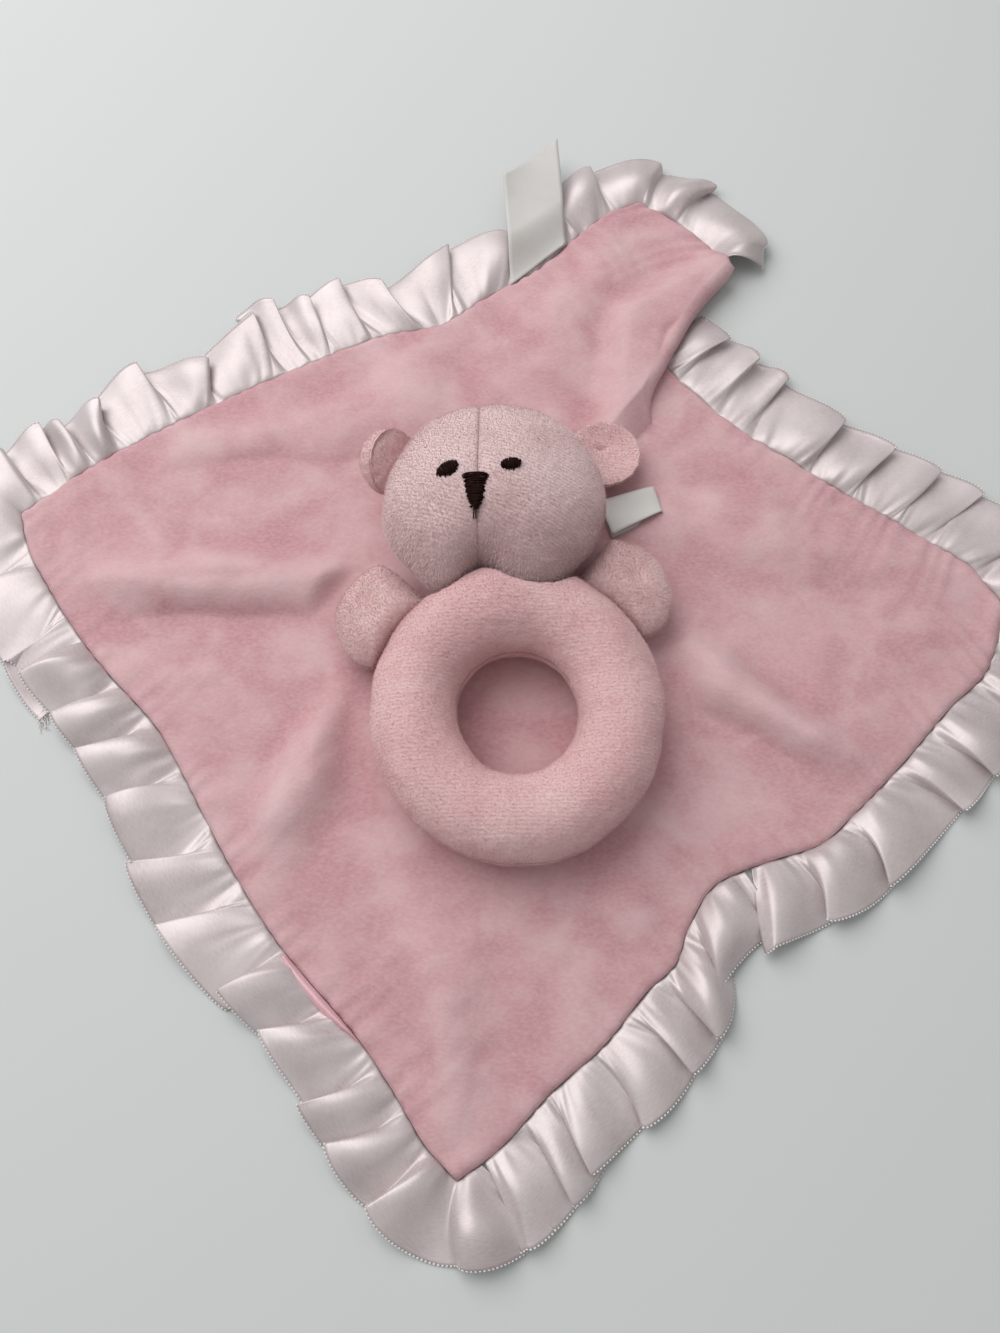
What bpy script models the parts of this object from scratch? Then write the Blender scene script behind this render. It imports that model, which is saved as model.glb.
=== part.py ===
# Comfort blanket with a stuffed bear: a square of plush backed with satin, a gathered ribbon round
# its edge, and a bear with a ring for a body, tacked to the blanket at the neck.
import functools
import math

import bmesh
import bpy
from mathutils import Matrix, Vector

# Blanket, as it lies. The table is at height zero and the top edge of the blanket is towards +Y.
HALF_DIAGONAL = 0.200
PLUSH_THICKNESS = 0.0016
SATIN_THICKNESS = 0.0008
PANEL_GAP = 0.0003
FOLD_HEIGHT = 0.0065
FOLD_WIDTH = 0.0130
SWELL_HEIGHT = 0.0012
REST_CUT = 0.0004

# Pleat that lies over the upper right side of the blanket.
PLEAT_HEIGHT = 0.0084
PLEAT_REACH = 0.0195
PLEAT_FEATHER = 0.0150

# Ruffle ribbon and labels.
RIBBON_WIDTH = 0.0270
RIBBON_THICKNESS = 0.0007
RIBBON_RISE = 0.0055
RIBBON_SEAM_RISE = 0.0006
RIBBON_FLOOR = 0.0006
SEAM_CLEARANCE = 0.0010
LABEL_THICKNESS = 0.0005
CARE_LABEL_WIDTH = 0.0240
CARE_LABEL_LENGTH = 0.0520
HEAD_LABEL_WIDTH = 0.0150
HEAD_LABEL_LENGTH = 0.0200
HEAD_LABEL_LOOP = 0.0030

# Bear. The neck is the crease where the chin meets the ring.
NECK_X = 0.0040
NECK_Y = 0.0170
NECK_HEIGHT = 0.0340
SEAT_CLEARANCE = 0.0003
SKIN_THICKNESS = 0.0012
SKIN_CLEARANCE = 0.0003
HEAD_HALF_WIDTH = 0.0379
HEAD_HALF_HEIGHT = 0.0360
HEAD_HALF_DEPTH = 0.0245
HEAD_SHIFT_X = -0.0058
CHIN_OVERLAP = 0.0005
RING_MID_WIDTH = 0.0348
RING_MID_HEIGHT = 0.0367
RING_TUBE = 0.0150
RING_SHIFT_X = 0.0017
RING_OVERLAP = 0.0120
RING_CLEARANCE = 0.0019
ARM_HALF_WIDTH = 0.0165
ARM_HALF_LENGTH = 0.0205
ARM_HALF_DEPTH = 0.0095
ARM_CLEARANCE = 0.0005
ARM_FILL_CLEARANCE = 0.0010
EAR_HALF_WIDTH = 0.0140
EAR_HALF_DEPTH = 0.0032
EAR_CUP = 0.0050
EAR_LIFTS = {"left": 0.0110, "right": 0.0}
EAR_PANEL = 0.0009
EYE_HALF_WIDTH = 0.0036
EYE_HALF_HEIGHT = 0.0029
NOSE_HALF_WIDTH = 0.0041
NOSE_HEIGHT = 0.0118
THREAD_RELIEF = 0.0008
TACK_RADIUS = 0.0016
TACK_HEIGHT = 0.0034

# Rattle inside the head.
CAPSULE_RADIUS = 0.0130
CAPSULE_WALL = 0.0012
CAPSULE_CLEARANCE = 0.0004
BEAD_RADIUS = 0.0020
BEAD_CLEARANCE = 0.0003

# Seam outlines of the four sides, as shares of the half diagonal, measured from the photo's middle.
TOP_LEFT_SHARES = [
    (-0.895, 0.30), (-0.785, 0.395), (-0.665, 0.475), (-0.51, 0.565), (-0.355, 0.645), (-0.23, 0.70),
    (-0.12, 0.725), (-0.03, 0.79), (0.075, 0.86), (0.16, 0.945), (0.25, 1.015), (0.315, 1.05),
]
BOTTOM_RIGHT_SHARES = [
    (-0.065, -0.835), (0.0, -0.79), (0.08, -0.71), (0.165, -0.64), (0.235, -0.56), (0.285, -0.515),
    (0.305, -0.465), (0.35, -0.395), (0.405, -0.365), (0.465, -0.345), (0.54, -0.32), (0.60, -0.27),
    (0.69, -0.185), (0.79, -0.08), (0.865, -0.01), (0.915, 0.11),
]
BOTTOM_LEFT_SHARES = [
    (-0.895, 0.30), (-0.87, 0.225), (-0.83, 0.16), (-0.775, 0.08), (-0.705, -0.005), (-0.595, -0.12),
    (-0.535, -0.215), (-0.485, -0.30), (-0.435, -0.38), (-0.355, -0.49), (-0.225, -0.63), (-0.165, -0.71),
    (-0.115, -0.785), (-0.065, -0.835),
]
# The top right side has its place along the cut edge first, because the pleat takes up a part of it.
TOP_RIGHT_SHARES = [
    (0.0, 0.315, 1.05), (0.05, 0.350, 1.00), (0.11, 0.365, 0.935), (0.18, 0.365, 0.85), (0.265, 0.37, 0.765),
    (0.35, 0.385, 0.70), (0.45, 0.415, 0.60), (0.55, 0.495, 0.475), (0.66, 0.60, 0.38), (0.77, 0.70, 0.31),
    (0.88, 0.80, 0.24), (0.95, 0.87, 0.185), (1.0, 0.915, 0.11),
]

# Pleat in the cloth's own directions: where its two fold lines meet the edge and where they end.
PLEAT_OVER_SHARE = 0.18
PLEAT_UNDER_SHARE = 0.35
PLEAT_APEX_SHARE = 0.42
PLEAT_END_SHARE = 0.86
PLEAT_FADE_SHARE = 0.66
PLEAT_LEAST_SHARE = 0.035
PLEAT_ROLL_SHARE = 0.018
PLEAT_UPPER_SHARE = 0.38
PLEAT_SPREAD_SHARE = 0.30
PLEAT_WAY_SHARES = (0.99, -0.14)
PLEAT_TRIANGLE_SHARES = [(0.455, 0.82), (0.285, 0.71), (0.255, 0.46)]

# Rows and columns of the cloth's net, as shares of each stretch between the pleat's fold lines.
CLOTH_ROW_SHARES = (
    0.0, 0.08, 0.17, 0.27, 0.37, 0.47, 0.56, 0.65, 0.73, 0.80, 0.86, 0.88, 0.90, 0.93, 0.965, 1.0,
)
CLOTH_BEFORE_SHARES = (0.0, 0.17, 0.36, 0.55, 0.73, 0.88)
CLOTH_ROLL_SHARES = (0.0, 0.33, 0.67, 1.0)
CLOTH_AFTER_SHARES = (0.06, 0.16, 0.27, 0.39, 0.51, 0.63, 0.75, 0.88, 1.0)

# Ridges and hollows of the cloth: two ends as shares of the half diagonal, height, width.
CLOTH_FOLD_SHARES = [
    (-0.77, 0.20, -0.30, 0.20, 0.95, 0.90),
    (-0.80, 0.09, -0.34, 0.10, -0.50, 0.80),
    (-0.60, 0.37, -0.26, 0.36, -0.45, 1.00),
    (-0.62, 0.45, -0.20, 0.50, 0.55, 1.30),
    (-0.24, -0.08, -0.43, -0.36, 1.00, 0.95),
    (-0.36, -0.06, -0.60, -0.20, -0.50, 1.20),
    (0.33, 0.00, 0.62, -0.20, 1.00, 0.85),
    (0.33, -0.11, 0.60, -0.27, -0.60, 0.80),
    (0.20, -0.40, 0.30, -0.52, 0.45, 0.80),
    (-0.10, -0.50, -0.08, -0.72, 0.60, 1.10),
    (0.34, 0.28, 0.74, 0.20, 0.60, 1.50),
    (0.10, 0.62, 0.16, 0.86, 0.55, 1.20),
    (-0.10, 0.52, -0.25, 0.64, 0.40, 1.10),
]

# Stretch of a side over which the seam's direction is taken.
SEAM_STEP_SHARE = 0.03

# Ribbon folds: place round the seam (0 at the left corner, 1 at the top, 2 at the right, 3 at the
# bottom), then how far the outer end slips along the seam and reaches out, in ribbon widths.
RIBBON_FOLD_SHARES = {
    "ruffle_top_left": [
        (-0.14, -0.25, 0.80), (-0.05, -0.15, 0.90), (0.03, 0.05, 0.95), (0.10, -0.03, 0.85),
        (0.14, 0.10, 0.85), (0.24, -0.15, 1.05), (0.30, 0.20, 0.70), (0.40, -0.15, 1.12),
        (0.47, 0.00, 1.05), (0.54, -0.30, 1.05), (0.62, -0.45, 0.85), (0.67, 0.30, 1.10),
        (0.76, 0.22, 0.75), (0.86, 0.20, 0.75), (0.94, 0.10, 0.85), (1.00, 0.00, 0.75),
        (1.07, -0.10, 0.75), (1.15, 0.00, 0.75),
    ],
    "ruffle_top_right": [
        (1.43, -0.05, 0.95), (1.49, -0.08, 1.00), (1.55, -0.03, 1.02), (1.64, -0.05, 0.90),
        (1.73, -0.06, 0.93), (1.81, 0.03, 0.98), (1.88, 0.15, 1.00), (1.95, 0.05, 0.95),
        (2.00, 0.00, 0.92), (2.06, 0.00, 0.90), (2.12, -0.05, 0.90), (2.21, -0.10, 0.90),
        (2.28, -0.15, 0.88), (2.37, 0.10, 0.85), (2.45, -0.05, 0.84), (2.50, 0.10, 0.95),
    ],
    "ruffle_bottom_right": [
        (2.53, 0.20, 0.95), (2.60, 0.30, 0.70), (2.66, 0.10, 0.88), (2.72, 0.00, 0.92),
        (2.78, 0.00, 0.92), (2.84, 0.15, 0.90), (2.90, 0.10, 0.95), (2.955, 0.05, 0.90),
    ],
    "ruffle_bottom_left": [
        (2.975, 0.05, 0.90), (3.00, 0.00, 0.85), (3.035, 0.05, 0.85), (3.08, 0.12, 0.88),
        (3.14, 0.17, 0.90), (3.22, 0.30, 0.78), (3.31, 0.05, 0.86), (3.39, 0.22, 1.00),
        (3.47, 0.12, 0.95), (3.56, 0.08, 0.89), (3.64, 0.15, 0.90), (3.72, 0.10, 0.80),
        (3.81, -0.05, 0.80),
    ],
}

# Bear placements, as shares of the named sizes that carry them.
FACE_SEAM_SHARE = -0.149
BACK_SEAM_SHARE = -0.30
CHEEK_SHARE = 0.12
CHIN_PINCH_SHARE = 0.22
JOWL_SHARE = 0.07
BACK_FLAT_SHARE = 0.93
NECK_SWELL_SHARE = 0.07
ARM_PLACE_SHARES = {"left": (-0.94, 1.01), "right": (0.76, 1.29)}
ARM_ROOT_SHARE = 0.45
ARM_TURN_DEG = {"left": -18.0, "right": 28.0}
EAR_PLACE_SHARES = {"left": (-1.12, 0.45), "right": (1.07, 0.74)}
EAR_TILT_DEG = {"left": 52.0, "right": 1.5}
EYE_PLACE_SHARES = {"left": (-0.40, -0.02), "right": (0.14, 0.00)}
NOSE_PLACE_SHARE = (-0.150, -0.20)
NOSE_TAPER_SHARE = 0.55
HEAD_LABEL_PLACE_SHARE = (0.93, 0.05)
HEAD_LABEL_TURN_DEG = 17.0
HEAD_LABEL_LOOP_SHARES = [
    (0.05, 0.0), (0.5, 0.0), (0.92, 0.1), (1.0, 0.5), (0.92, 0.9), (0.5, 1.0), (0.05, 1.0),
]
CARE_LABEL_SEAM_SHARE = 0.79
CARE_LABEL_TURN_DEG = -34.0
TACK_PLACE_SHARE = 0.88
BEAD_PLACE_SHARES = [(0.0, 0.0), (0.38, 0.10), (-0.30, 0.28), (0.02, -0.40), (-0.36, -0.22)]

COLOURS = {
    "plush": ((0.66, 0.40, 0.42), 0.95),
    "satin": ((0.78, 0.55, 0.57), 0.40),
    "ribbon": ((0.80, 0.76, 0.76), 0.35),
    "label": ((0.80, 0.78, 0.75), 0.70),
    "velour": ((0.60, 0.49, 0.49), 0.95),
    "ring_velour": ((0.66, 0.46, 0.48), 0.95),
    "thread": ((0.025, 0.009, 0.008), 0.60),
    "fill": ((0.90, 0.90, 0.88), 1.00),
    "capsule": ((0.85, 0.87, 0.88), 0.35),
    "bead": ((0.25, 0.45, 0.70), 0.40),
    "pink_thread": ((0.70, 0.45, 0.47), 0.80),
}

# Net sizes of the round pieces.
RING_TURNS = 32
RING_AROUND = 12

# Heights and centres that follow from the sizes above.
MID_HEIGHT = SATIN_THICKNESS + PANEL_GAP / 2 - REST_CUT / 2
BLANKET_TOP = MID_HEIGHT + PANEL_GAP / 2 + PLUSH_THICKNESS
BEAR_FLOOR = BLANKET_TOP + SEAT_CLEARANCE
HEAD_CENTRE = Vector((
    NECK_X + HEAD_SHIFT_X,
    NECK_Y + HEAD_HALF_HEIGHT + CHIN_OVERLAP,
    BEAR_FLOOR + HEAD_HALF_DEPTH * BACK_FLAT_SHARE,
))
RING_CENTRE = Vector((
    NECK_X + RING_SHIFT_X,
    NECK_Y + RING_OVERLAP - RING_TUBE - RING_MID_HEIGHT,
    BEAR_FLOOR + RING_TUBE,
))

# Beginnings of the names of what moves with the head.
HEAD_CARRIES = ("head_", "rattle_", "eye_", "nose", "ear_")

part_materials = {}


def clear_scene():
    for old in list(bpy.data.objects):
        bpy.data.objects.remove(old, do_unlink=True)


def make_collection(name):
    made = bpy.data.collections.new(name)
    bpy.context.scene.collection.children.link(made)
    return made


def material(name):
    if name not in part_materials:
        colour, roughness = COLOURS[name]
        made = bpy.data.materials.new(name)
        made.use_nodes = True
        shader = made.node_tree.nodes["Principled BSDF"]
        shader.inputs["Base Color"].default_value = (*colour, 1.0)
        shader.inputs["Roughness"].default_value = roughness
        shader.inputs["Metallic"].default_value = 0.0
        part_materials[name] = made
    return part_materials[name]


def smoothstep(low, high, value):
    share = min(max((value - low) / (high - low), 0.0), 1.0)
    return share * share * (3 - 2 * share)


def bell(distance, width):
    return math.exp(-((distance / width) ** 2))


def curve_through(points, knots, place):
    """Point on the smooth curve through the points, which passes each at its knot."""
    place = min(max(place, knots[0]), knots[-1])
    index = 0
    while index < len(knots) - 2 and place > knots[index + 1]:
        index += 1
    span = knots[index + 1] - knots[index]
    local = (place - knots[index]) / span
    result = []
    for axis in range(len(points[0])):
        start = points[index][axis]
        end = points[index + 1][axis]
        if index > 0:
            before = (end - points[index - 1][axis]) / (knots[index + 1] - knots[index - 1]) * span
        else:
            before = end - start
        if index < len(knots) - 2:
            after = (points[index + 2][axis] - start) / (knots[index + 2] - knots[index]) * span
        else:
            after = end - start
        square = local * local
        cube = square * local
        result.append(
            start * (2 * cube - 3 * square + 1)
            + before * (cube - 2 * square + local)
            + end * (3 * square - 2 * cube)
            + after * (cube - square)
        )
    return result


def seam_curve(shares):
    """Points in metres and their even places along a side."""
    points = [(x * HALF_DIAGONAL, y * HALF_DIAGONAL) for x, y in shares]
    steps = [0.0]
    for start, end in zip(points, points[1:]):
        steps.append(steps[-1] + math.dist(start, end))
    return points, [step / steps[-1] for step in steps]


TOP_LEFT = seam_curve(TOP_LEFT_SHARES)
BOTTOM_RIGHT = seam_curve(BOTTOM_RIGHT_SHARES)
BOTTOM_LEFT = seam_curve(BOTTOM_LEFT_SHARES)
TOP_RIGHT = (
    [(x * HALF_DIAGONAL, y * HALF_DIAGONAL) for _, x, y in TOP_RIGHT_SHARES],
    [place for place, _, _ in TOP_RIGHT_SHARES],
)


def side(curve, place):
    return Vector(curve_through(curve[0], curve[1], place))


def flat_point(up, right):
    """Point of the square: up runs from the lower left side to the top right one, right the other way."""
    left_corner = side(TOP_LEFT, 0.0)
    top_corner = side(TOP_LEFT, 1.0)
    bottom_corner = side(BOTTOM_RIGHT, 0.0)
    right_corner = side(BOTTOM_RIGHT, 1.0)
    along = side(TOP_LEFT, up) * (1 - right) + side(BOTTOM_RIGHT, up) * right
    across = side(BOTTOM_LEFT, right) * (1 - up) + side(TOP_RIGHT, right) * up
    corners = (
        left_corner * (1 - up) * (1 - right)
        + bottom_corner * (1 - up) * right
        + top_corner * up * (1 - right)
        + right_corner * up * right
    )
    return along + across - corners


def segment_distance(point, start, end):
    line = end - start
    share = min(max((point - start).dot(line) / line.length_squared, 0.0), 1.0)
    return (point - start - line * share).length, share


def bear_cover(point):
    """1 under the bear, where the cloth lies flat, falling to 0 just outside it."""
    head = Vector((
        (point.x - HEAD_CENTRE.x) / HEAD_HALF_WIDTH,
        (point.y - HEAD_CENTRE.y) / HEAD_HALF_HEIGHT,
    )).length
    ring = Vector((
        (point.x - RING_CENTRE.x) / (RING_MID_WIDTH + RING_TUBE),
        (point.y - RING_CENTRE.y) / (RING_MID_HEIGHT + RING_TUBE),
    )).length
    nearest = min(head, ring)
    for name in ("left", "right"):
        centre = arm_centre(name)
        arm = (point - centre.to_2d()).length / ARM_HALF_LENGTH
        nearest = min(nearest, arm)
        centre = ear_centre(name)
        ear = (point - centre.to_2d()).length / EAR_HALF_WIDTH
        nearest = min(nearest, ear)
    return 1 - smoothstep(1.12, 1.45, nearest)


def triangle_cover(point):
    """1 where the pleat lies in three layers, feathering out beside it."""
    corners = [Vector(share) * HALF_DIAGONAL for share in PLEAT_TRIANGLE_SHARES]
    inside = True
    nearest = HALF_DIAGONAL
    for index in range(3):
        start = corners[index]
        end = corners[(index + 1) % 3]
        edge = end - start
        turn = edge.x * (point.y - start.y) - edge.y * (point.x - start.x)
        inside = inside and turn < 0
        nearest = min(nearest, segment_distance(point, start, end)[0])
    if inside:
        return 1.0
    return 1 - smoothstep(0.0, PLEAT_FEATHER, nearest - PLEAT_FEATHER / 3)


def cloth_height(point, up, right):
    """Height of the cloth's middle over its resting height, from its ridges and hollows."""
    height = 0.0
    for x0, y0, x1, y1, rise, width in CLOTH_FOLD_SHARES:
        start = Vector((x0, y0)) * HALF_DIAGONAL
        end = Vector((x1, y1)) * HALF_DIAGONAL
        distance, share = segment_distance(point, start, end)
        taper = 0.6 + 0.4 * math.sin(math.pi * share)
        height += rise * FOLD_HEIGHT * taper * bell(distance, width * FOLD_WIDTH)
    height += SWELL_HEIGHT * math.sin(7.0 * up + 2.0) * math.sin(6.0 * right + 1.0)
    edge = min(up, right, 1 - up, 1 - right)
    height *= smoothstep(0.0, 0.10, edge)
    height *= 1 - bear_cover(point)
    return max(height, -REST_CUT / 2)


def pleat_lines(up):
    """Where the two fold lines of the pleat lie in a row of the cloth, and how far it laps over."""
    lap = min(max((up - PLEAT_END_SHARE) / (1 - PLEAT_END_SHARE), 0.0), 1.0)
    over = PLEAT_OVER_SHARE * lap + (PLEAT_APEX_SHARE - PLEAT_LEAST_SHARE) * (1 - lap)
    under = PLEAT_UNDER_SHARE * lap + PLEAT_APEX_SHARE * (1 - lap)
    return over, under, lap


def cloth_point(up, right, over_pleat):
    """Point on the cloth's middle, before the pleat's upper fold line or after its lower one."""
    over, under, lap = pleat_lines(up)
    flat = flat_point(up, right)
    way = Vector(PLEAT_WAY_SHARES)
    half = PLEAT_ROLL_SHARE / 2
    if over_pleat:
        shift = smoothstep(0.0, over - half, right)
    else:
        shift = -(1 - smoothstep(under + half, under + PLEAT_SPREAD_SHARE, right))
    place = flat + way * shift * lap * PLEAT_REACH
    fade = smoothstep(PLEAT_FADE_SHARE, PLEAT_END_SHARE, up)
    cover = triangle_cover(place) * fade
    height = cloth_height(place, up, right) * (1 - cover)
    if over_pleat:
        height += PLEAT_HEIGHT * cover
    return Vector((place.x, place.y, MID_HEIGHT + height))


def pleat_section(start, end):
    """The S that the cloth makes between the pleat's fold lines: points with the angle turned there. It is
    an arc, a straight stretch and an arc back, in the upright plane of the pleat's way."""
    way = Vector(PLEAT_WAY_SHARES).normalized()
    step = end - start
    level = step.to_2d().dot(way)
    side = step.to_2d() - way * level
    drop = max(start.z - end.z, PANEL_GAP)
    if level > 0:
        radius = min(PLEAT_HEIGHT / 2, 0.98 * (drop ** 2 + level ** 2) / (2 * drop))
        reach = math.hypot(radius - drop, level)
        lean = math.atan2(level, radius - drop) - math.acos(min(radius / reach, 1.0))
        straight = math.sqrt(max(reach ** 2 - radius ** 2, 0.0))
    else:
        radius = drop / 2
        lean = math.pi
        straight = -level
    upper = radius * PLEAT_UPPER_SHARE
    lower = radius - upper
    total = radius * lean + straight
    turned = lean / math.pi
    upper_span = min(upper * lean * turned + 0.3 * total * (1 - turned), 0.36 * total)
    lower_span = min(lower * lean * turned + 0.3 * total * (1 - turned), 0.56 * total)
    lengths = [share * upper_span for share in CLOTH_ROLL_SHARES]
    lengths.append((upper_span + total - lower_span) / 2)
    lengths += [total - (1 - share) * lower_span for share in CLOTH_ROLL_SHARES]
    found = []
    for length in lengths:
        if length < upper * lean:
            angle = length / upper
            along, fall = upper * math.sin(angle), upper * (1 - math.cos(angle))
        elif length < upper * lean + straight:
            angle = lean
            rest = length - upper * lean
            along = upper * math.sin(lean) + rest * math.cos(lean)
            fall = upper * (1 - math.cos(lean)) + rest * math.sin(lean)
        else:
            angle = max((total - length) / lower, 0.0)
            along = level - lower * math.sin(angle)
            fall = drop - lower * (1 - math.cos(angle))
        place = start.to_2d() + way * along + side * length / total
        found.append((Vector((place.x, place.y, start.z - fall)), angle))
    return found


@functools.cache
def cloth_grid():
    """Middle surface of the cloth as rows of points with the angle that they are turned over, from the
    lower left side to the top right one."""
    half = PLEAT_ROLL_SHARE / 2
    grid = []
    for up in CLOTH_ROW_SHARES:
        over, under, _ = pleat_lines(up)
        line = [(cloth_point(up, (over - half) * share, True), 0.0) for share in CLOTH_BEFORE_SHARES]
        start = cloth_point(up, over - half, True)
        line += pleat_section(start, cloth_point(up, under + half, False))
        for share in CLOTH_AFTER_SHARES:
            line.append((cloth_point(up, under + half + (1 - under - half) * share, False), 0.0))
        grid.append(line)
    return grid


def mesh_object(name, mesh, material_name, collection):
    made = bpy.data.objects.new(name, mesh)
    collection.objects.link(made)
    made.data.materials.append(material(material_name))
    made.data.shade_smooth()
    made.data.set_sharp_from_angle(angle=math.radians(50))
    return made


def grid_object(name, grid, material_name, collection):
    """Open surface through a grid of points."""
    net = bmesh.new()
    lines = [[net.verts.new(point) for point in line] for line in grid]
    for row in range(len(lines) - 1):
        for column in range(len(lines[0]) - 1):
            here, beside = lines[row][column], lines[row][column + 1]
            above, across = lines[row + 1][column], lines[row + 1][column + 1]
            net.faces.new((here, beside, across))
            net.faces.new((here, across, above))
    mesh = bpy.data.meshes.new(name)
    net.to_mesh(mesh)
    net.free()
    return mesh_object(name, mesh, material_name, collection)


def solidify(made, thickness, offset):
    shell = made.modifiers.new("thickness", "SOLIDIFY")
    shell.thickness = thickness
    shell.offset = offset
    shell.use_even_offset = False


def cut(made, cutter):
    boolean = made.modifiers.new("cut", "BOOLEAN")
    boolean.operation = "DIFFERENCE"
    boolean.solver = "EXACT"
    boolean.object = cutter


def as_cutter(made, collection):
    """Moves a helper into the cutters' collection, out of the render."""
    for home in list(made.users_collection):
        home.objects.unlink(made)
    collection.objects.link(made)
    made.hide_render = True
    made.display_type = "WIRE"
    return made


def layer_grid(grid, offset):
    """The grid moved towards its front, and no lower than the table, where the cloth is pressed flat."""
    moved = []
    for line in grid:
        row = []
        for point, lean in line:
            level = math.sin(lean) * offset
            place = point + Vector((PLEAT_WAY_SHARES[0] * level, PLEAT_WAY_SHARES[1] * level, 0))
            place.z = max(place.z + math.cos(lean) * offset, 0.0)
            row.append(place)
        moved.append(row)
    return moved


def panel_object(name, top, bottom, material_name, collection):
    """Sheet of cloth between two grids, closed round its border."""
    net = bmesh.new()
    layers = [[[net.verts.new(point) for point in line] for line in grid] for grid in (top, bottom)]
    rows, columns = len(top), len(top[0])
    for layer, lines in enumerate(layers):
        for row in range(rows - 1):
            for column in range(columns - 1):
                here, beside = lines[row][column], lines[row][column + 1]
                above, across = lines[row + 1][column], lines[row + 1][column + 1]
                for corners in ((here, beside, across), (here, across, above)):
                    net.faces.new(corners if layer == 0 else corners[::-1])
    border = [(0, column) for column in range(columns - 1)]
    border += [(row, columns - 1) for row in range(rows - 1)]
    border += [(rows - 1, column) for column in range(columns - 1, 0, -1)]
    border += [(row, 0) for row in range(rows - 1, 0, -1)]
    for (row, column), (next_row, next_column) in zip(border, border[1:] + border[:1]):
        net.faces.new((
            layers[0][row][column],
            layers[1][row][column],
            layers[1][next_row][next_column],
            layers[0][next_row][next_column],
        ))
    mesh = bpy.data.meshes.new(name)
    net.to_mesh(mesh)
    net.free()
    return mesh_object(name, mesh, material_name, collection)


def make_blanket(parts):
    grid = cloth_grid()
    half = PANEL_GAP / 2
    layers = [
        layer_grid(grid, offset)
        for offset in (half + PLUSH_THICKNESS, half, -half, -half - SATIN_THICKNESS)
    ]
    panel_object("blanket_front_panel", layers[0], layers[1], "plush", parts)
    panel_object("blanket_back_panel", layers[2], layers[3], "satin", parts)


@functools.cache
def seam_line():
    """Border of the cloth's net: places round the seam and their points, without the tucked stretch."""
    grid = [[point for point, _ in line] for line in cloth_grid()]
    half = PLEAT_ROLL_SHARE / 2
    line = [(up, row[0]) for up, row in zip(CLOTH_ROW_SHARES, grid)]
    before = (PLEAT_OVER_SHARE - half, CLOTH_BEFORE_SHARES)
    after = (1 - PLEAT_UNDER_SHARE - half, CLOTH_AFTER_SHARES)
    top = [1 + before[0] * share for share in before[1][1:]]
    tail = [1 + PLEAT_UNDER_SHARE + half + after[0] * share for share in after[1]]
    line += list(zip(top, grid[-1][1:]))
    line += list(zip(tail, grid[-1][-len(tail):]))
    line += [(3 - up, row[-1]) for up, row in zip(CLOTH_ROW_SHARES[-2::-1], grid[-2::-1])]
    _, under, _ = pleat_lines(0.0)
    span = 1 - under - half
    foot = [4 - under - half - span * share for share in after[1]]
    line += list(zip(foot[-2::-1], grid[0][-2:-len(foot) - 1:-1]))
    over, _, _ = pleat_lines(0.0)
    start = [4 - (over - half) * share for share in before[1]]
    line += list(zip(start[::-1], grid[0][len(start) - 1::-1]))
    return line


def seam_point(place):
    """Point of the seam at a place round the blanket."""
    place = place % 4.0
    line = seam_line()
    index = 0
    while index < len(line) - 2 and place > line[index + 1][0]:
        index += 1
    start, end = line[index], line[index + 1]
    return start[1].lerp(end[1], (place - start[0]) / (end[0] - start[0]))


def seam_frame(place):
    """Seam point with the level directions along the seam and out of the blanket."""
    point = seam_point(place)
    along = seam_point(place + SEAM_STEP_SHARE) - seam_point(place - SEAM_STEP_SHARE)
    along.z = 0.0
    along.normalize()
    return point, along, Vector((-along.y, along.x, 0.0))


def ribbon_grid(folds):
    """Gathered ribbon: each stretch between two folds climbs slowly and drops steeply."""
    knots = [fold[0] for fold in folds]
    shares = [(fold[1], fold[2]) for fold in folds]
    steps = (0.0, 0.30, 0.62, 0.84)
    profile = (1.0, 0.28, 0.05, 0.42)
    places = []
    for start, end in zip(knots, knots[1:]):
        for step, rise in zip(steps, profile):
            places.append((start + (end - start) * step, rise))
    places.append((knots[-1], 1.0))
    grid = []
    for across in (0.0, 0.5, 1.0):
        line = []
        for place, rise in places:
            slip, reach = curve_through(shares, knots, place)
            point, along, out = seam_frame(place)
            drop = point.z - MID_HEIGHT
            where = point + out * (SEAM_CLEARANCE + reach * across * RIBBON_WIDTH)
            where += along * slip * across * RIBBON_WIDTH
            low = MID_HEIGHT + (RIBBON_FLOOR - MID_HEIGHT) * across + drop * (1 - across) ** 0.7
            swell = RIBBON_SEAM_RISE + (RIBBON_RISE - RIBBON_SEAM_RISE) * math.sin(across * math.pi * 0.42)
            where.z = low + swell * rise * (0.35 + 0.65 * across)
            line.append(where)
        grid.append(line)
    return grid[::-1]


def make_ruffle(parts):
    for name, folds in RIBBON_FOLD_SHARES.items():
        ribbon = grid_object(name, ribbon_grid(folds), "ribbon", parts)
        solidify(ribbon, RIBBON_THICKNESS, 0.0)


@functools.cache
def plan_outline(name, clearance):
    """Outline of the head or the ring seen from above, as points round it, moved out by the clearance."""
    points = []
    for index in range(48):
        angle = 2 * math.pi * index / 48
        way = Vector((math.cos(angle), math.sin(angle)))
        if name == "head":
            place = head_point(Vector((way.x, way.y, 0.0))).to_2d()
            outward = (place - HEAD_CENTRE.to_2d()).normalized()
        else:
            place = Vector((
                RING_CENTRE.x + way.x * (RING_MID_WIDTH + RING_TUBE),
                RING_CENTRE.y + way.y * (RING_MID_HEIGHT + RING_TUBE),
            ))
            outward = way
        points.append(place + outward * clearance)
    return points


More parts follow.
